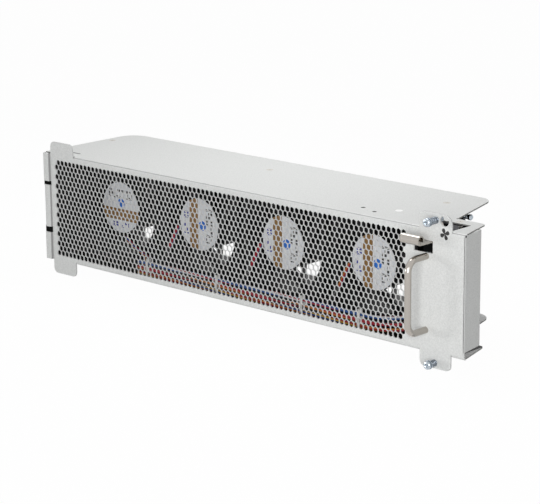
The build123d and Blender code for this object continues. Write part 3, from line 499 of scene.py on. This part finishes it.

# Covers: the same plated sheet, with painted shade on its cut edges and black painted shade inside.
# The top one has a dark line of painted shade for a narrow slot behind the left ear, and a painted
# highlight on the dimple near the lever.
slot_cut_x = left_x + 18.3 * mm
slot_cut_y = front_y + 12.5 * mm
slot_cut_half_length = 11.0 * mm
slot_cut_half_width = 0.8 * mm
dimple_x = right_x - 78.0 * mm
dimple_y = front_y + 24.8 * mm
dimple_radius = 2.7 * mm
inside_half_height = (top_z - bottom_z) / 2 - 0.9 * sheet
bay_right_x = right_x - 64.0 * mm
latch_right_x = right_x - 8.0 * mm
latch_rear_y = front_y + 33.0 * mm
# Black of the painted shade inside the covers and the left wall
painted_shade_black = (0.004, 0.004, 0.004)

cover_steel, cover_color = grained("cover_steel")
cover_x, cover_y, cover_z = cover_steel.axes()
# Painted shade on the sideways faces, the cut edges
edge_shade = abs(cover_steel.axes("Normal")[2]) < 0.5
cover_color = cover_steel.blend(edge_shade, cover_color, (0.22, 0.22, 0.21))
# Painted shade: inner faces over the fan bay and the latch painted black
inside = abs(cover_z - panel_middle_z) < inside_half_height
over_latch = (cover_x < latch_right_x) * (cover_y < latch_rear_y)
painted_shade_area = inside * cover_steel.maths("MAXIMUM", cover_x < bay_right_x, over_latch)
cover_color = cover_steel.blend(painted_shade_area, cover_color, painted_shade_black)
# Painted shade: a dark line for a narrow slot behind the left ear
along_slot = abs(cover_x - slot_cut_x) < slot_cut_half_length
across_slot = abs(cover_y - slot_cut_y) < slot_cut_half_width
cover_color = cover_steel.blend(along_slot * across_slot, cover_color, (0.02, 0.02, 0.02))
# Painted highlight: a white spot on the dimple
dimple_highlight = cover_steel.distance(cover_x - dimple_x, cover_y - dimple_y) < dimple_radius
cover_steel.put("Base Color", cover_steel.blend(dimple_highlight, cover_color, (1.0, 1.0, 1.0)))
dress(cover_steel, "top_cover", "bottom_cover")

# Side walls: folded channels of the same sheet, with black painted shade on their inner faces. The
# right one is painted black all over, as shade.
# Black film for the harness liner, also used as painted shade on the right wall
black_film_and_shade = Finish("black_film_and_shade", (0.005, 0.005, 0.005), 0.7, Specular_IOR_Level=0.05)
wall_steel, wall_color = grained("wall_steel")
# Painted shade: the wall's inner faces painted black
painted_shade_x = left_x + 2.1 * mm
painted_shade_area = wall_steel.axes()[0] > painted_shade_x
wall_steel.put("Base Color", wall_steel.blend(painted_shade_area, wall_color, painted_shade_black))
dress(wall_steel, "left_side_wall")
# Painted shade: the right wall painted black all over
dress(black_film_and_shade, "right_side_wall")

# Gap shade: a black strip behind the three segments of the spring edge, which shows as painted
# shade in the two gaps between them
gap_shade_black = Finish("gap_shade_black", (0.006, 0.006, 0.006), 0.9, Specular_IOR_Level=0.05)
shade_overlap = 0.6 * mm
shade_left_x = left_x + 0.6 * mm
shade_right_x = panel_left_x + 0.4 * mm
shade_front_y = front_y - 1.2 * mm
shade_rear_y = front_y + 1.4 * mm
shade_outline = [
    (shade_left_x, shade_front_y),
    (panel_left_x - 1.2 * mm, shade_front_y),
    (shade_right_x, front_y + 0.4 * mm),
    (shade_right_x, shade_rear_y),
    (shade_left_x, shade_rear_y),
]
shade_bars = []
for gap_low_z, gap_high_z in (
    (upper_gap_low_z, upper_gap_high_z),
    (lower_gap_low_z, lower_gap_high_z),
):
    shade_low_z = gap_low_z - shade_overlap
    shade_height = gap_high_z + shade_overlap - shade_low_z
    place = Matrix.Translation((0, 0, shade_low_z))
    shade_bars.append(slab(shade_outline, shade_height, matrix=place))
fit(joined("edge_gap_shade", shade_bars), gap_shade_black, "black_plastic", "tray")

# Fan pictogram: a plain sign of four blades in matt black ink, printed on the upper right ear
# below its round hole
icon_ink = Finish("icon_ink", (0.015, 0.015, 0.015), 0.6)
icon_x = right_x - 17.6 * mm
icon_z = top_z - 2.4 * mm
icon_thickness = 0.03 * mm
icon_tilt = radians(35)
blades = []
for quarter in range(4):
    turn = Matrix.Rotation(quarter * pi / 2 + icon_tilt, 4, "Z")
    petal = rounded(
        [
            (0.2 * mm, -0.3 * mm, 0),
            (1.5 * mm, -1.6 * mm, 0.5 * mm),
            (3.7 * mm, -2.2 * mm, 1.1 * mm),
            (4.4 * mm, 1.1 * mm, 1.3 * mm),
            (1.8 * mm, 0.8 * mm, 0.5 * mm),
            (0.2 * mm, 0.3 * mm, 0),
        ]
    )
    place = Matrix.Translation((icon_x, front_y, icon_z)) @ upright @ turn
    blades.append(slab(petal, icon_thickness, matrix=place))
fit(joined("fan_pictogram", blades), icon_ink, "panel_finish", "tray")


# Countersunk screws: zinc-plated steel with a cross recess, flush with the sheets. They hold the
# side walls, the fan bracket and the latch bracket between the covers.
def turned(profile, sides=40):
    """Mesh turned about Z from (radius, height) points, the first and last on the axis."""
    shape = bmesh.new()
    loops = []
    for radius, height in profile:
        if radius == 0:
            loops.append([shape.verts.new((0, 0, height))])
            continue
        spots = ring(0, 0, radius, sides)
        loops.append([shape.verts.new((spot.x, spot.y, height)) for spot in spots])
    for lower, upper in zip(loops, loops[1:]):
        for side in range(sides):
            after = (side + 1) % sides
            corners = [lower[side % len(lower)], lower[after % len(lower)]]
            corners += [upper[after % len(upper)], upper[side % len(upper)]]
            shape.faces.new(dict.fromkeys(corners))
    mesh = bpy.data.meshes.new("turned")
    shape.to_mesh(mesh)
    shape.free()
    return mesh


def cross_cutter(reach, width, depth, face=0.0):
    """Object with the shape of a cross recess below a face at some z, narrower at its foot."""
    half = width / 2
    corner = [(reach, half), (half, half), (half, reach)]
    cross = []
    for _ in range(4):
        cross += corner
        corner = [(-y, x) for x, y in corner]
    mesh = slab(cross, 2 * depth, matrix=Matrix.Translation((0, 0, -depth)))
    foot_share = 0.6
    for vertex in mesh.vertices:
        if vertex.co.z < 0:
            vertex.co.x *= foot_share
            vertex.co.y *= foot_share
    mesh.transform(Matrix.Translation((0, 0, face)))
    return joined("cutter", [mesh])


def carved(mesh, cutter):
    """The mesh with the cutter's shape taken out of it."""
    block = joined("block", [mesh])
    for item in (block, cutter):
        scene.collection.objects.link(item)
    cut = block.modifiers.new("cut", "BOOLEAN")
    cut.operation = "DIFFERENCE"
    cut.solver = "EXACT"
    cut.object = cutter
    bpy.context.view_layer.update()
    depsgraph = bpy.context.evaluated_depsgraph_get()
    result = bpy.data.meshes.new_from_object(block.evaluated_get(depsgraph))
    for item in (block, cutter):
        bpy.data.objects.remove(item)
    return result


zinc = Finish("zinc", (0.46, 0.51, 0.56), 0.17, 1.0)
pale_plate = Finish("pale_plate", (0.62, 0.60, 0.56), 0.4, 0.4)
cover_screw_length = 3.6 * mm
cover_shank_radius = 1.45 * mm
countersink_foot_radius = 1.9 * mm
countersink_radius = 2.9 * mm
cover_screw_profile = [
    (0, -cover_screw_length),
    (cover_shank_radius, -cover_screw_length),
    (cover_shank_radius, -sheet),
    (countersink_foot_radius, -sheet),
    (countersink_radius, 0),
    (0, 0),
]
screw_row_y = front_y + 67.2 * mm
top_screw_spots = [
    (left_x + 7.5 * mm, screw_row_y),
    (right_x - 241.3 * mm, screw_row_y),
    (right_x - 69.3 * mm, screw_row_y),
    (right_x - 26.3 * mm, front_y + 27.8 * mm),
]
flip = Matrix.Rotation(pi, 4, "X")
for node, face_z, spots, facing in (
    ("top_screws", top_z, top_screw_spots, Matrix()),
    ("bottom_screws", bottom_z, top_screw_spots[:3], flip),
):
    screws = []
    for number, (x, y) in enumerate(spots):
        recess = cross_cutter(reach=1.9 * mm, width=0.75 * mm, depth=0.9 * mm)
        screw = carved(turned(cover_screw_profile), recess)
        twist = Matrix.Rotation(radians(20 + 35 * number), 4, "Z")
        screw.transform(Matrix.Translation((x, y, face_z)) @ facing @ twist)
        screws.append(screw)
    fit(joined(f"{node}_cross", screws), pale_plate, "zinc_screws", "tray", node)

# Captive screws: pan heads on a neck that turns in a washer, pushed off the ear by a coil spring.
# They stay in the ear when the tray is out.
captive_x = right_x - 25.0 * mm
head_radius = 3.0 * mm
head_height = 2.6 * mm
head_edge = 1.0 * mm
head_crown = 0.25 * mm
neck_radius = 1.5 * mm
thread_length = 5.0 * mm
thread_radius = 2.0 * mm
thread_depth = 0.35 * mm
thread_pitch = 0.7 * mm
thread_turns = 7
first_crest = 0.35 * thread_pitch
spring_wire_radius = 0.33 * mm
coil_radius = 2.15 * mm
coil_turns = 5.5
push_travel = {"upper": 5.5 * mm, "lower": 3.2 * mm}


def coil(start, length, radius, turns, steps=20):
    """Points of a helix along Z, closed at both ends by most of a turn without any rise."""
    flat_turns = 0.75
    points = []
    for step in range(int(turns * steps) + 1):
        turn = step / steps
        rise = min(max((turn - flat_turns) / (turns - 2 * flat_turns), 0), 1)
        angle = 2 * pi * turn
        points.append((radius * cos(angle), radius * sin(angle), start + rise * length))
    return points


def rod(name, points, radius, kind="POLY", sides=3):
    """Round rod or wire along points: straight between them, or smooth as a NURBS spline."""
    curve = bpy.data.curves.new(name, "CURVE")
    curve.dimensions = "3D"
    curve.bevel_depth = radius
    curve.bevel_resolution = sides
    curve.use_fill_caps = True
    spline = curve.splines.new(kind)
    spline.points.add(len(points) - 1)
    for point, spot in zip(spline.points, points):
        point.co = (*spot, 1)
    if kind == "NURBS":
        spline.order_u = 4
        spline.use_endpoint_u = True
        spline.resolution_u = 5
    holder = bpy.data.objects.new(name, curve)
    mesh = bpy.data.meshes.new_from_object(holder)
    bpy.data.objects.remove(holder)
    bpy.data.curves.remove(curve)
    mesh.shade_smooth()
    return bpy.data.objects.new(name, mesh)


spring_steel = Finish("spring_steel", (0.26, 0.29, 0.33), 0.2, 1.0)
for ear, travel in push_travel.items():
    name = f"captive_screw_{ear}"
    low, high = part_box(name)
    screw_z = (low.z + high.z) / 2
    length = high.y - low.y
    thread_start = length - thread_length
    screw_profile = [
        (0, 0),
        (0.55 * head_radius, -0.12 * mm),
        *arc(head_radius - head_edge, -head_crown - head_edge, head_edge, pi / 2, -pi / 2, steps=6),
        (head_radius, -head_height),
        (neck_radius, -head_height),
        (neck_radius, -thread_start),
    ]
    for turn in range(thread_turns):
        crest = thread_start + first_crest + turn * thread_pitch
        screw_profile.append((thread_radius, -crest))
        screw_profile.append((thread_radius - thread_depth, -crest - thread_pitch / 2))
    screw_profile.append((0, -length))
    recess = cross_cutter(reach=2.0 * mm, width=0.9 * mm, depth=1.4 * mm)
    screw = carved(turned(screw_profile), recess)
    stand = Matrix.Translation((captive_x, low.y, screw_z)) @ upright
    screw.transform(stand @ Matrix.Rotation(radians(30), 4, "Z"))
    fit(joined(f"{name}_cross", [screw]), zinc, "zinc_screws", f"captive_{ear}_screw", name)

    washer_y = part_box(f"captive_washer_{ear}")[1].y
    reach = front_y - washer_y - 2 * spring_wire_radius
    points = coil(-washer_y - spring_wire_radius - reach, reach, coil_radius, coil_turns)
    spring = rod(f"captive_spring_{ear}_coil", points, spring_wire_radius)
    spring.data.transform(Matrix.Translation((captive_x, 0, screw_z)) @ upright)
    fit(spring, spring_steel, "spring_steel", "tray", f"captive_spring_{ear}")
    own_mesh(spring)
dress(zinc, "captive_washer_upper", "captive_washer_lower")

# Bow handle: 4.8 mm steel rod, bent twice and bright nickel plated. Two screws hold it from behind
# the panel.
nickel = Finish("bright_nickel", (0.45, 0.42, 0.385), 0.18, 1.0)
nickel.put("Roughness", 0.13 + 0.03 * nickel.noise(120.0))
handle_low, handle_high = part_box("handle")
rod_radius = (handle_high.x - handle_low.x) / 2
handle_x = (handle_low.x + handle_high.x) / 2
handle_bend = 8.0 * mm
grip_y = handle_low.y + rod_radius
arm_low_z = handle_low.z + rod_radius
arm_high_z = handle_high.z - rod_radius
handle_points = [(handle_x, front_y, arm_low_z)]
for centre_z, start in ((arm_low_z + handle_bend, 3 * pi / 2), (arm_high_z - handle_bend, pi)):
    bend = arc(grip_y + handle_bend, centre_z, handle_bend, start, -pi / 2, steps=12)
    handle_points += [(handle_x, y, z) for y, z in bend]
handle_points.append((handle_x, front_y, arm_high_z))
handle = rod("handle_bow", handle_points, rod_radius, sides=10)
fit(handle, nickel, "bright_nickel", "tray", "handle")

# Latch lever: bright plated sheet rolled into a grip in front, with a narrow tail that turns on
# a pin behind the panel and a hook that rises through the window in the top cover
lever_low_x = slot_left_x + 0.4 * mm
lever_high_x = slot_right_x - 0.4 * mm
lever_low_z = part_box("latch_lever")[0].z
lever_sheet = 1.0 * mm
curl_radius = 3.4 * mm
curl_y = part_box("latch_lever")[0].y + curl_radius
curl_z = lever_low_z + curl_radius
curl_sweep = radians(300)
shoulder_y = front_y + 18.0 * mm
tail_low_x = right_x - 40.7 * mm
tail_high_x = right_x - 31.9 * mm
barrel_radius = 2.4 * mm
pin_hole_radius = 1.3 * mm
pivot_y = front_y + 27.0 * mm
pivot_z = lever_low_z + barrel_radius
lever_top_z = lever_low_z + lever_sheet
hook_front_y = front_y + 6.0 * mm
hook_tip_y = front_y + 10.5 * mm
hook_rear_y = front_y + 17.0 * mm
hook_top_z = top_z + 2.5 * mm
hook_corner = 0.8 * mm

# The roll runs from under its centre forward, up and back
curl_outer, curl_inner = (
    arc(curl_y, curl_z, radius, start=-pi / 2, sweep=-curl_sweep, steps=40)
    for radius in (curl_radius, curl_radius - lever_sheet)
)
lever_profile = [
    (shoulder_y, lever_low_z),
    *curl_outer,
    *reversed(curl_inner),
    (shoulder_y, lever_top_z),
]
tail_profile = [
    (shoulder_y, lever_low_z),
    (shoulder_y, lever_top_z),
    (pivot_y, lever_top_z),
    (pivot_y, lever_low_z),
]
barrel = ring(pivot_y, pivot_z, barrel_radius, sides=32)
pin_hole = ring(pivot_y, pivot_z, pin_hole_radius, sides=24)
hook_profile = rounded(
    [
        (hook_front_y, lever_top_z, 0),
        (hook_rear_y, lever_top_z, 0),
        (hook_rear_y, lever_top_z + 2 * lever_sheet, 0),
        (hook_tip_y, hook_top_z, hook_corner),
        (hook_front_y, hook_top_z, hook_corner),
    ]
)
lever_meshes = []
for profile, holes, low_x, high_x in (
    (lever_profile, (), lever_low_x, lever_high_x),
    (tail_profile, (), tail_low_x, tail_high_x),
    (barrel, [pin_hole], tail_low_x, tail_high_x),
    (hook_profile, (), lever_high_x - lever_sheet, lever_high_x),
):
    place = Matrix.Translation((low_x, 0, 0)) @ sideways
    lever_meshes.append(slab(profile, high_x - low_x, holes, place))
lever = joined("latch_lever_rolled", lever_meshes)
fit(lever, nickel, "bright_nickel", "lever", "latch_lever")

# Latch bracket, pivot pin and return spring: plain plated steel, out of sight behind the panel.
# The bracket is screwed under the top cover and carries the pin, and the spring lies round it.
plain_steel = Finish("plain_steel", (0.10, 0.10, 0.105), 0.4, 1.0)
plain_steel.put("Roughness", 0.3 + 0.2 * plain_steel.noise(600.0))
dress(plain_steel, "latch_bracket", "fan_bracket")
dress(zinc, "latch_pivot_pin", "handle_screws", "connector_screws", "fan_screws")
spring_low, spring_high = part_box("latch_spring")
twist_margin = 0.35 * mm
twist_length = spring_high.x - spring_low.x - 2 * twist_margin
twist_points = coil(start=0, length=twist_length, radius=1.95 * mm, turns=4.5)
twist_spring = rod("latch_spring_coil", twist_points, spring_wire_radius)
twist_start = Matrix.Translation((spring_low.x + twist_margin, pivot_y, pivot_z))
twist_spring.data.transform(twist_start @ sideways)
fit(twist_spring, spring_steel, "spring_steel", "tray", "latch_spring")

# Guide screw: a zinc-plated screw with a grooved collar, which stands out of the right side wall
# behind the flange
stud_low, stud_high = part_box("guide_screw")
stud_middle = (stud_low + stud_high) / 2
stud_shank_radius = 1.5 * mm
groove_radius = 1.3 * mm
collar_radius = 1.8 * mm
groove_pitch = 1.1 * mm
stud_head_radius = 2.2 * mm
stud_head_start = 7.6 * mm
stud_head_edge = 9.4 * mm
stud_face_radius = 1.6 * mm
stud_length = 10.0 * mm
stud_profile = [(0, 0), (stud_shank_radius, 0), (stud_shank_radius, sheet)]
for groove in range(6):
    start = sheet + groove * groove_pitch
    stud_profile += [
        (groove_radius, start + 0.05 * mm),
        (collar_radius, start + 0.35 * mm),
        (collar_radius, start + 0.75 * mm),
        (groove_radius, start + 1.05 * mm),
    ]
stud_profile += [
    (stud_head_radius, stud_head_start),
    (stud_head_radius, stud_head_edge),
    (stud_face_radius, stud_length),
    (0, stud_length),
]
recess = cross_cutter(reach=1.3 * mm, width=0.6 * mm, depth=1.0 * mm, face=stud_length)
stud = carved(turned(stud_profile), recess)
stud_stand = Matrix.Translation((stud_low.x, stud_middle.y, stud_middle.z))
stud.transform(stud_stand @ Matrix.Rotation(pi / 2, 4, "Y"))
fit(joined("guide_screw_grooved", [stud]), zinc, "zinc_screws", "tray", "guide_screw")

# Fans: four 80 mm axial fans in black glass-filled plastic, with their motor hubs and struts
# towards the mesh and their blades behind
fan_plastic = Finish("fan_plastic", (0.008, 0.008, 0.009), 0.4, Specular_IOR_Level=0.1)
winding = Finish("winding", (0.45, 0.22, 0.08), 0.4, 0.8)
magnet = Finish("magnet", (0.05, 0.05, 0.055), 0.6)
bearing_steel = Finish("bearing_steel", (0.6, 0.6, 0.62), 0.25, 1.0)
fan_numbers = (1, 2, 3, 4)
for number in fan_numbers:
    dress(fan_plastic, f"fan_{number}_frame", f"fan_{number}_rotor")
    dress(winding, f"fan_{number}_stator")
    dress(magnet, f"fan_{number}_magnet")
    dress(bearing_steel, f"fan_{number}_bearings", f"fan_{number}_shaft")

# Fan labels: round silver film on each hub, printed with a bronze band, a blue dot and rows of
# small plain marks. The first fan is mounted a quarter turn from the others.
label_radius = 20.4 * mm
label_thickness = 0.3 * mm


def marks(finish, across, along, centre, width, height, cell_width, cell_height):
    """Mask of small printed dashes in a strip, some of them missing."""
    dash_share, row_share, missing = 0.8, 0.7, 0.3
    strip = (abs(across - centre) < width / 2) * (abs(along) < height / 2)
    column = across * (1 / cell_width)
    row = along * (1 / cell_height)
    in_dash = finish.maths("FRACT", column) < dash_share
    in_row = finish.maths("FRACT", row) < row_share
    cell = finish.node(
        "ShaderNodeCombineXYZ",
        inputs={0: finish.maths("FLOOR", column), 1: finish.maths("FLOOR", row)},
    )
    kept = finish.node("ShaderNodeTexWhiteNoise", inputs={"Vector": cell}) > missing
    return strip * (in_dash * in_row) * kept


label_film = Finish("label_film", (0.75, 0.76, 0.78), 0.35)
across, along, _ = label_film.axes()
band = abs(across + 5.6 * mm) < 4.6 * mm
dot = label_film.distance(across - 3.6 * mm, along + 0.6 * mm) < 3.8 * mm
blue_marks = marks(
    label_film,
    across,
    along,
    centre=-13.6 * mm,
    width=5.4 * mm,
    height=18.0 * mm,
    cell_width=2.7 * mm,
    cell_height=3.4 * mm,
)
black_marks = marks(
    label_film,
    across,
    along,
    centre=11.2 * mm,
    width=7.5 * mm,
    height=27.0 * mm,
    cell_width=2.5 * mm,
    cell_height=2.9 * mm,
)
print_color = label_film.blend(band, (0.78, 0.80, 0.83), (0.24, 0.12, 0.02))
print_color = label_film.blend(blue_marks, print_color, (0.02, 0.03, 0.30))
print_color = label_film.blend(black_marks, print_color, (0.03, 0.03, 0.03))
label_film.put("Base Color", label_film.blend(dot, print_color, (0.0, 0.15, 0.62)))
for number in fan_numbers:
    low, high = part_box(f"fan_{number}_label")
    disc_mesh = slab(ring(0, 0, label_radius, sides=64), label_thickness)
    disc = joined(f"fan_{number}_label_print", [disc_mesh])
    disc_turn = Matrix.Rotation(pi / 2 if number == 1 else 0.0, 4, "Z")
    middle = ((low.x + high.x) / 2, high.y, (low.z + high.z) / 2)
    disc.matrix_world = Matrix.Translation(middle) @ upright @ disc_turn
    fit(disc, label_film, "label_film", "tray", f"fan_{number}_label")

# Fan leads: four thin insulated wires from each hub, along a strut, down the corner and forward
# to the harness
wire_colors = {
    "red": (0.36, 0.01, 0.025),
    "orange": (0.50, 0.17, 0.015),
    "yellow": (0.55, 0.33, 0.04),
    "blue": (0.01, 0.07, 0.26),
    "black": (0.02, 0.02, 0.02),
    "white": (0.55, 0.57, 0.60),
}
insulation = {
    name: Finish(f"{name}_insulation", color, 0.35) for name, color in wire_colors.items()
}
wire_radius = 0.62 * mm
sleeve_radius = 1.4 * mm
lead_gap = 1.4 * mm
harness_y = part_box("harness_trunk")[0].y + 1.5 * mm
liner_top_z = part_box("harness_liner")[1].z
bundle_heights = [liner_top_z + height * mm for height in (2.3, 6.7, 11.2)]
straight_strut = [(-21.5, -4.0), (-26.5, -13.0), (-31.7, -22.8)]
turned_strut = [(6.0, -22.5), (14.1, -29.0), (26.8, -33.5)]
lead_colors = {
    1: ("orange", "blue", "black", "red"),
    2: ("red", "red", "black", "blue"),
    3: ("red", "red", "black", "blue"),
    4: ("orange", "red", "black", "blue"),
}
for number, colors in lead_colors.items():
    low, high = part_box(f"fan_{number}_frame")
    hub_x = (low.x + high.x) / 2
    hub_z = (low.z + high.z) / 2
    face_y = low.y - lead_gap
    turned_fan = number == 1
    side = 1 if turned_fan else -1
    strut = turned_strut if turned_fan else straight_strut
    corner_x = hub_x + side * 42.0 * mm
    route = [Vector((hub_x + x * mm, face_y, hub_z + z * mm)) for x, z in strut]
    sleeve_route = [
        route[-1],
        Vector((hub_x + side * 36.0 * mm, face_y - 2.0 * mm, hub_z - 34.5 * mm)),
        Vector((corner_x, harness_y + 8.0 * mm, bundle_heights[0] + 2.0 * mm)),
        Vector((corner_x + 14.0 * mm, harness_y + 2.0 * mm, bundle_heights[0])),
    ]
    if turned_fan:
        route += sleeve_route[1:]
    else:
        sleeve = rod(f"fan_{number}_lead_sleeve", sleeve_route, sleeve_radius, "NURBS")
        fit(sleeve, insulation["black"], "lead_insulation", "tray", f"fan_{number}_lead")
    for order, color in enumerate(colors):
        aside_x = wire_radius if order % 2 else -wire_radius
        aside_y = wire_radius if order > 1 else -wire_radius
        path = [spot + Vector((aside_x, aside_y, 0)) for spot in route]
        wire = rod(f"fan_{number}_wire_{order + 1}", path, wire_radius, "NURBS")
        fit(wire, insulation[color], "lead_insulation", "tray", f"fan_{number}_lead")

# Harness: the leads of all four fans in three loose bundles along the floor in front of the fans,
# held by nylon ties, then back along the right side to the connector
trunk_low, trunk_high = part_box("harness_trunk")
connector_low, connector_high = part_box("rear_connector")
connector_x = (connector_low.x + connector_high.x) / 2
bundle_colors = [
    ("orange", "red", "yellow", "blue"),
    ("red", "red", "orange", "black"),
    ("blue", "blue", "red", "white"),
]
bundle_radius = 1.3 * wire_radius
bundle_twist = 0.35
socket_drop = 20.0 * mm
straight_start_x = trunk_low.x + 26.0 * mm
straight_end_x = connector_x - 30.0 * mm
straight_steps = ceil((straight_end_x - straight_start_x) / (6.0 * mm))
straight_stride = (straight_end_x - straight_start_x) / straight_steps
for bundle, colors in enumerate(bundle_colors):
    height = bundle_heights[bundle]
    rise_z = panel_middle_z - socket_drop + height - bottom_z - sheet
    route = [
        Vector((straight_start_x + straight_stride * step, harness_y, height))
        for step in range(straight_steps + 1)
    ]
    route += [
        Vector((connector_x - 10.0 * mm, harness_y + 6.0 * mm, height + 1.0 * mm)),
        Vector((connector_x - 1.0 * mm, front_y + 28.0 * mm, height + 5.0 * mm)),
        Vector((connector_x, front_y + 40.0 * mm, (height + rise_z) / 2)),
        Vector((connector_x, front_y + 52.0 * mm, rise_z)),
        Vector((connector_x, trunk_high.y, rise_z)),
    ]
    for order, color in enumerate(colors):
        path = []
        for index, spot in enumerate(route):
            angle = pi / 2 * order + bundle + bundle_twist * index
            path.append(spot + Vector((0, cos(angle), sin(angle))) * bundle_radius)
        wire = rod(f"harness_wire_{bundle + 1}_{order + 1}", path, wire_radius, "NURBS")
        fit(wire, insulation[color], "harness_insulation", "tray", "harness_trunk")

nylon = Finish("nylon", (0.62, 0.62, 0.60), 0.4)
dress(nylon, "cable_ties")

# Liner and connector: thin matt black film laid on the floor under the harness, and a moulded
# black socket at the rear, screwed to a tab of the right side wall
dress(black_film_and_shade, "harness_liner")
socket_plastic = Finish("socket_plastic", (0.02, 0.02, 0.02), 0.45)
dress(socket_plastic, "rear_connector")


# Studio: a pale floor under the ears, a white surround and three soft lamps. Floor and surround
# show white to the camera and in the metal, and light the tray no more than at a plain level.
def background_ray(shading):
    """1 for a ray that shows the background: seen, mirrored or let through, and 0 for others."""
    seen, mirrored, let_through = (
        shading.node("ShaderNodeLightPath", output=kind)
        for kind in ("Is Camera Ray", "Is Glossy Ray", "Is Transmission Ray")
    )
    return shading.maths("MINIMUM", seen + mirrored + let_through, 1.0)


floor_half = 4.0
floor_thickness = 0.002
floor_corners = [(-1, -1), (1, -1), (1, 1), (-1, 1)]
floor_mesh = slab(
    [(x * floor_half, y * floor_half) for x, y in floor_corners],
    floor_thickness,
    matrix=Matrix.Translation((0, 0, -floor_thickness)),
)
floor = joined("floor", [floor_mesh])
scene.collection.objects.link(floor)
floor_paint = Finish("floor_paint", (0.6, 0.6, 0.6), 1.0)
floor_white = 1.01
white_share = 0.97
glow = floor_paint.node("ShaderNodeEmission", inputs={"Strength": floor_white})
paint = Signal(floor_paint, floor_paint.shader.outputs[0])
floor_mix = floor_paint.node(
    "ShaderNodeMixShader",
    inputs={0: white_share * background_ray(floor_paint), 1: paint, 2: glow},
)
floor_paint.feed(floor_paint.tree.nodes["Material Output"].inputs["Surface"], floor_mix)
floor.data.materials.append(floor_paint.material)

surround_light = 0.20
surround_white = 0.98
world = bpy.data.worlds.new("surround")
scene.world = world
world.use_nodes = True
surround = Shading(world.node_tree)
background = world.node_tree.nodes["Background"]
surround.feed(background.inputs["Color"], (1, 1, 1, 1))
surround.feed(
    background.inputs["Strength"],
    surround_light + (surround_white - surround_light) * background_ray(surround),
)


def lamp(name, spot, target, size, watts):
    """Square soft lamp that points at a target."""
    light = bpy.data.objects.new(name, bpy.data.lights.new(name, "AREA"))
    light.data.size = size
    light.data.energy = watts
    aim = (Vector(target) - Vector(spot)).to_track_quat("-Z", "Y").to_matrix().to_4x4()
    light.matrix_world = Matrix.Translation(spot) @ aim
    scene.collection.objects.link(light)


lamp("left_lamp", (-1.25, -1.2, 0.1), (0.1, 0, 0.05), size=0.4, watts=6.3)
lamp("right_lamp", (0.7, -0.85, 0.15), (0.25, 0, 0.05), size=0.6, watts=9)
lamp("top_lamp", (-0.03, 0.08, 0.55), (0, 0, 0.05), size=0.35, watts=1.8)
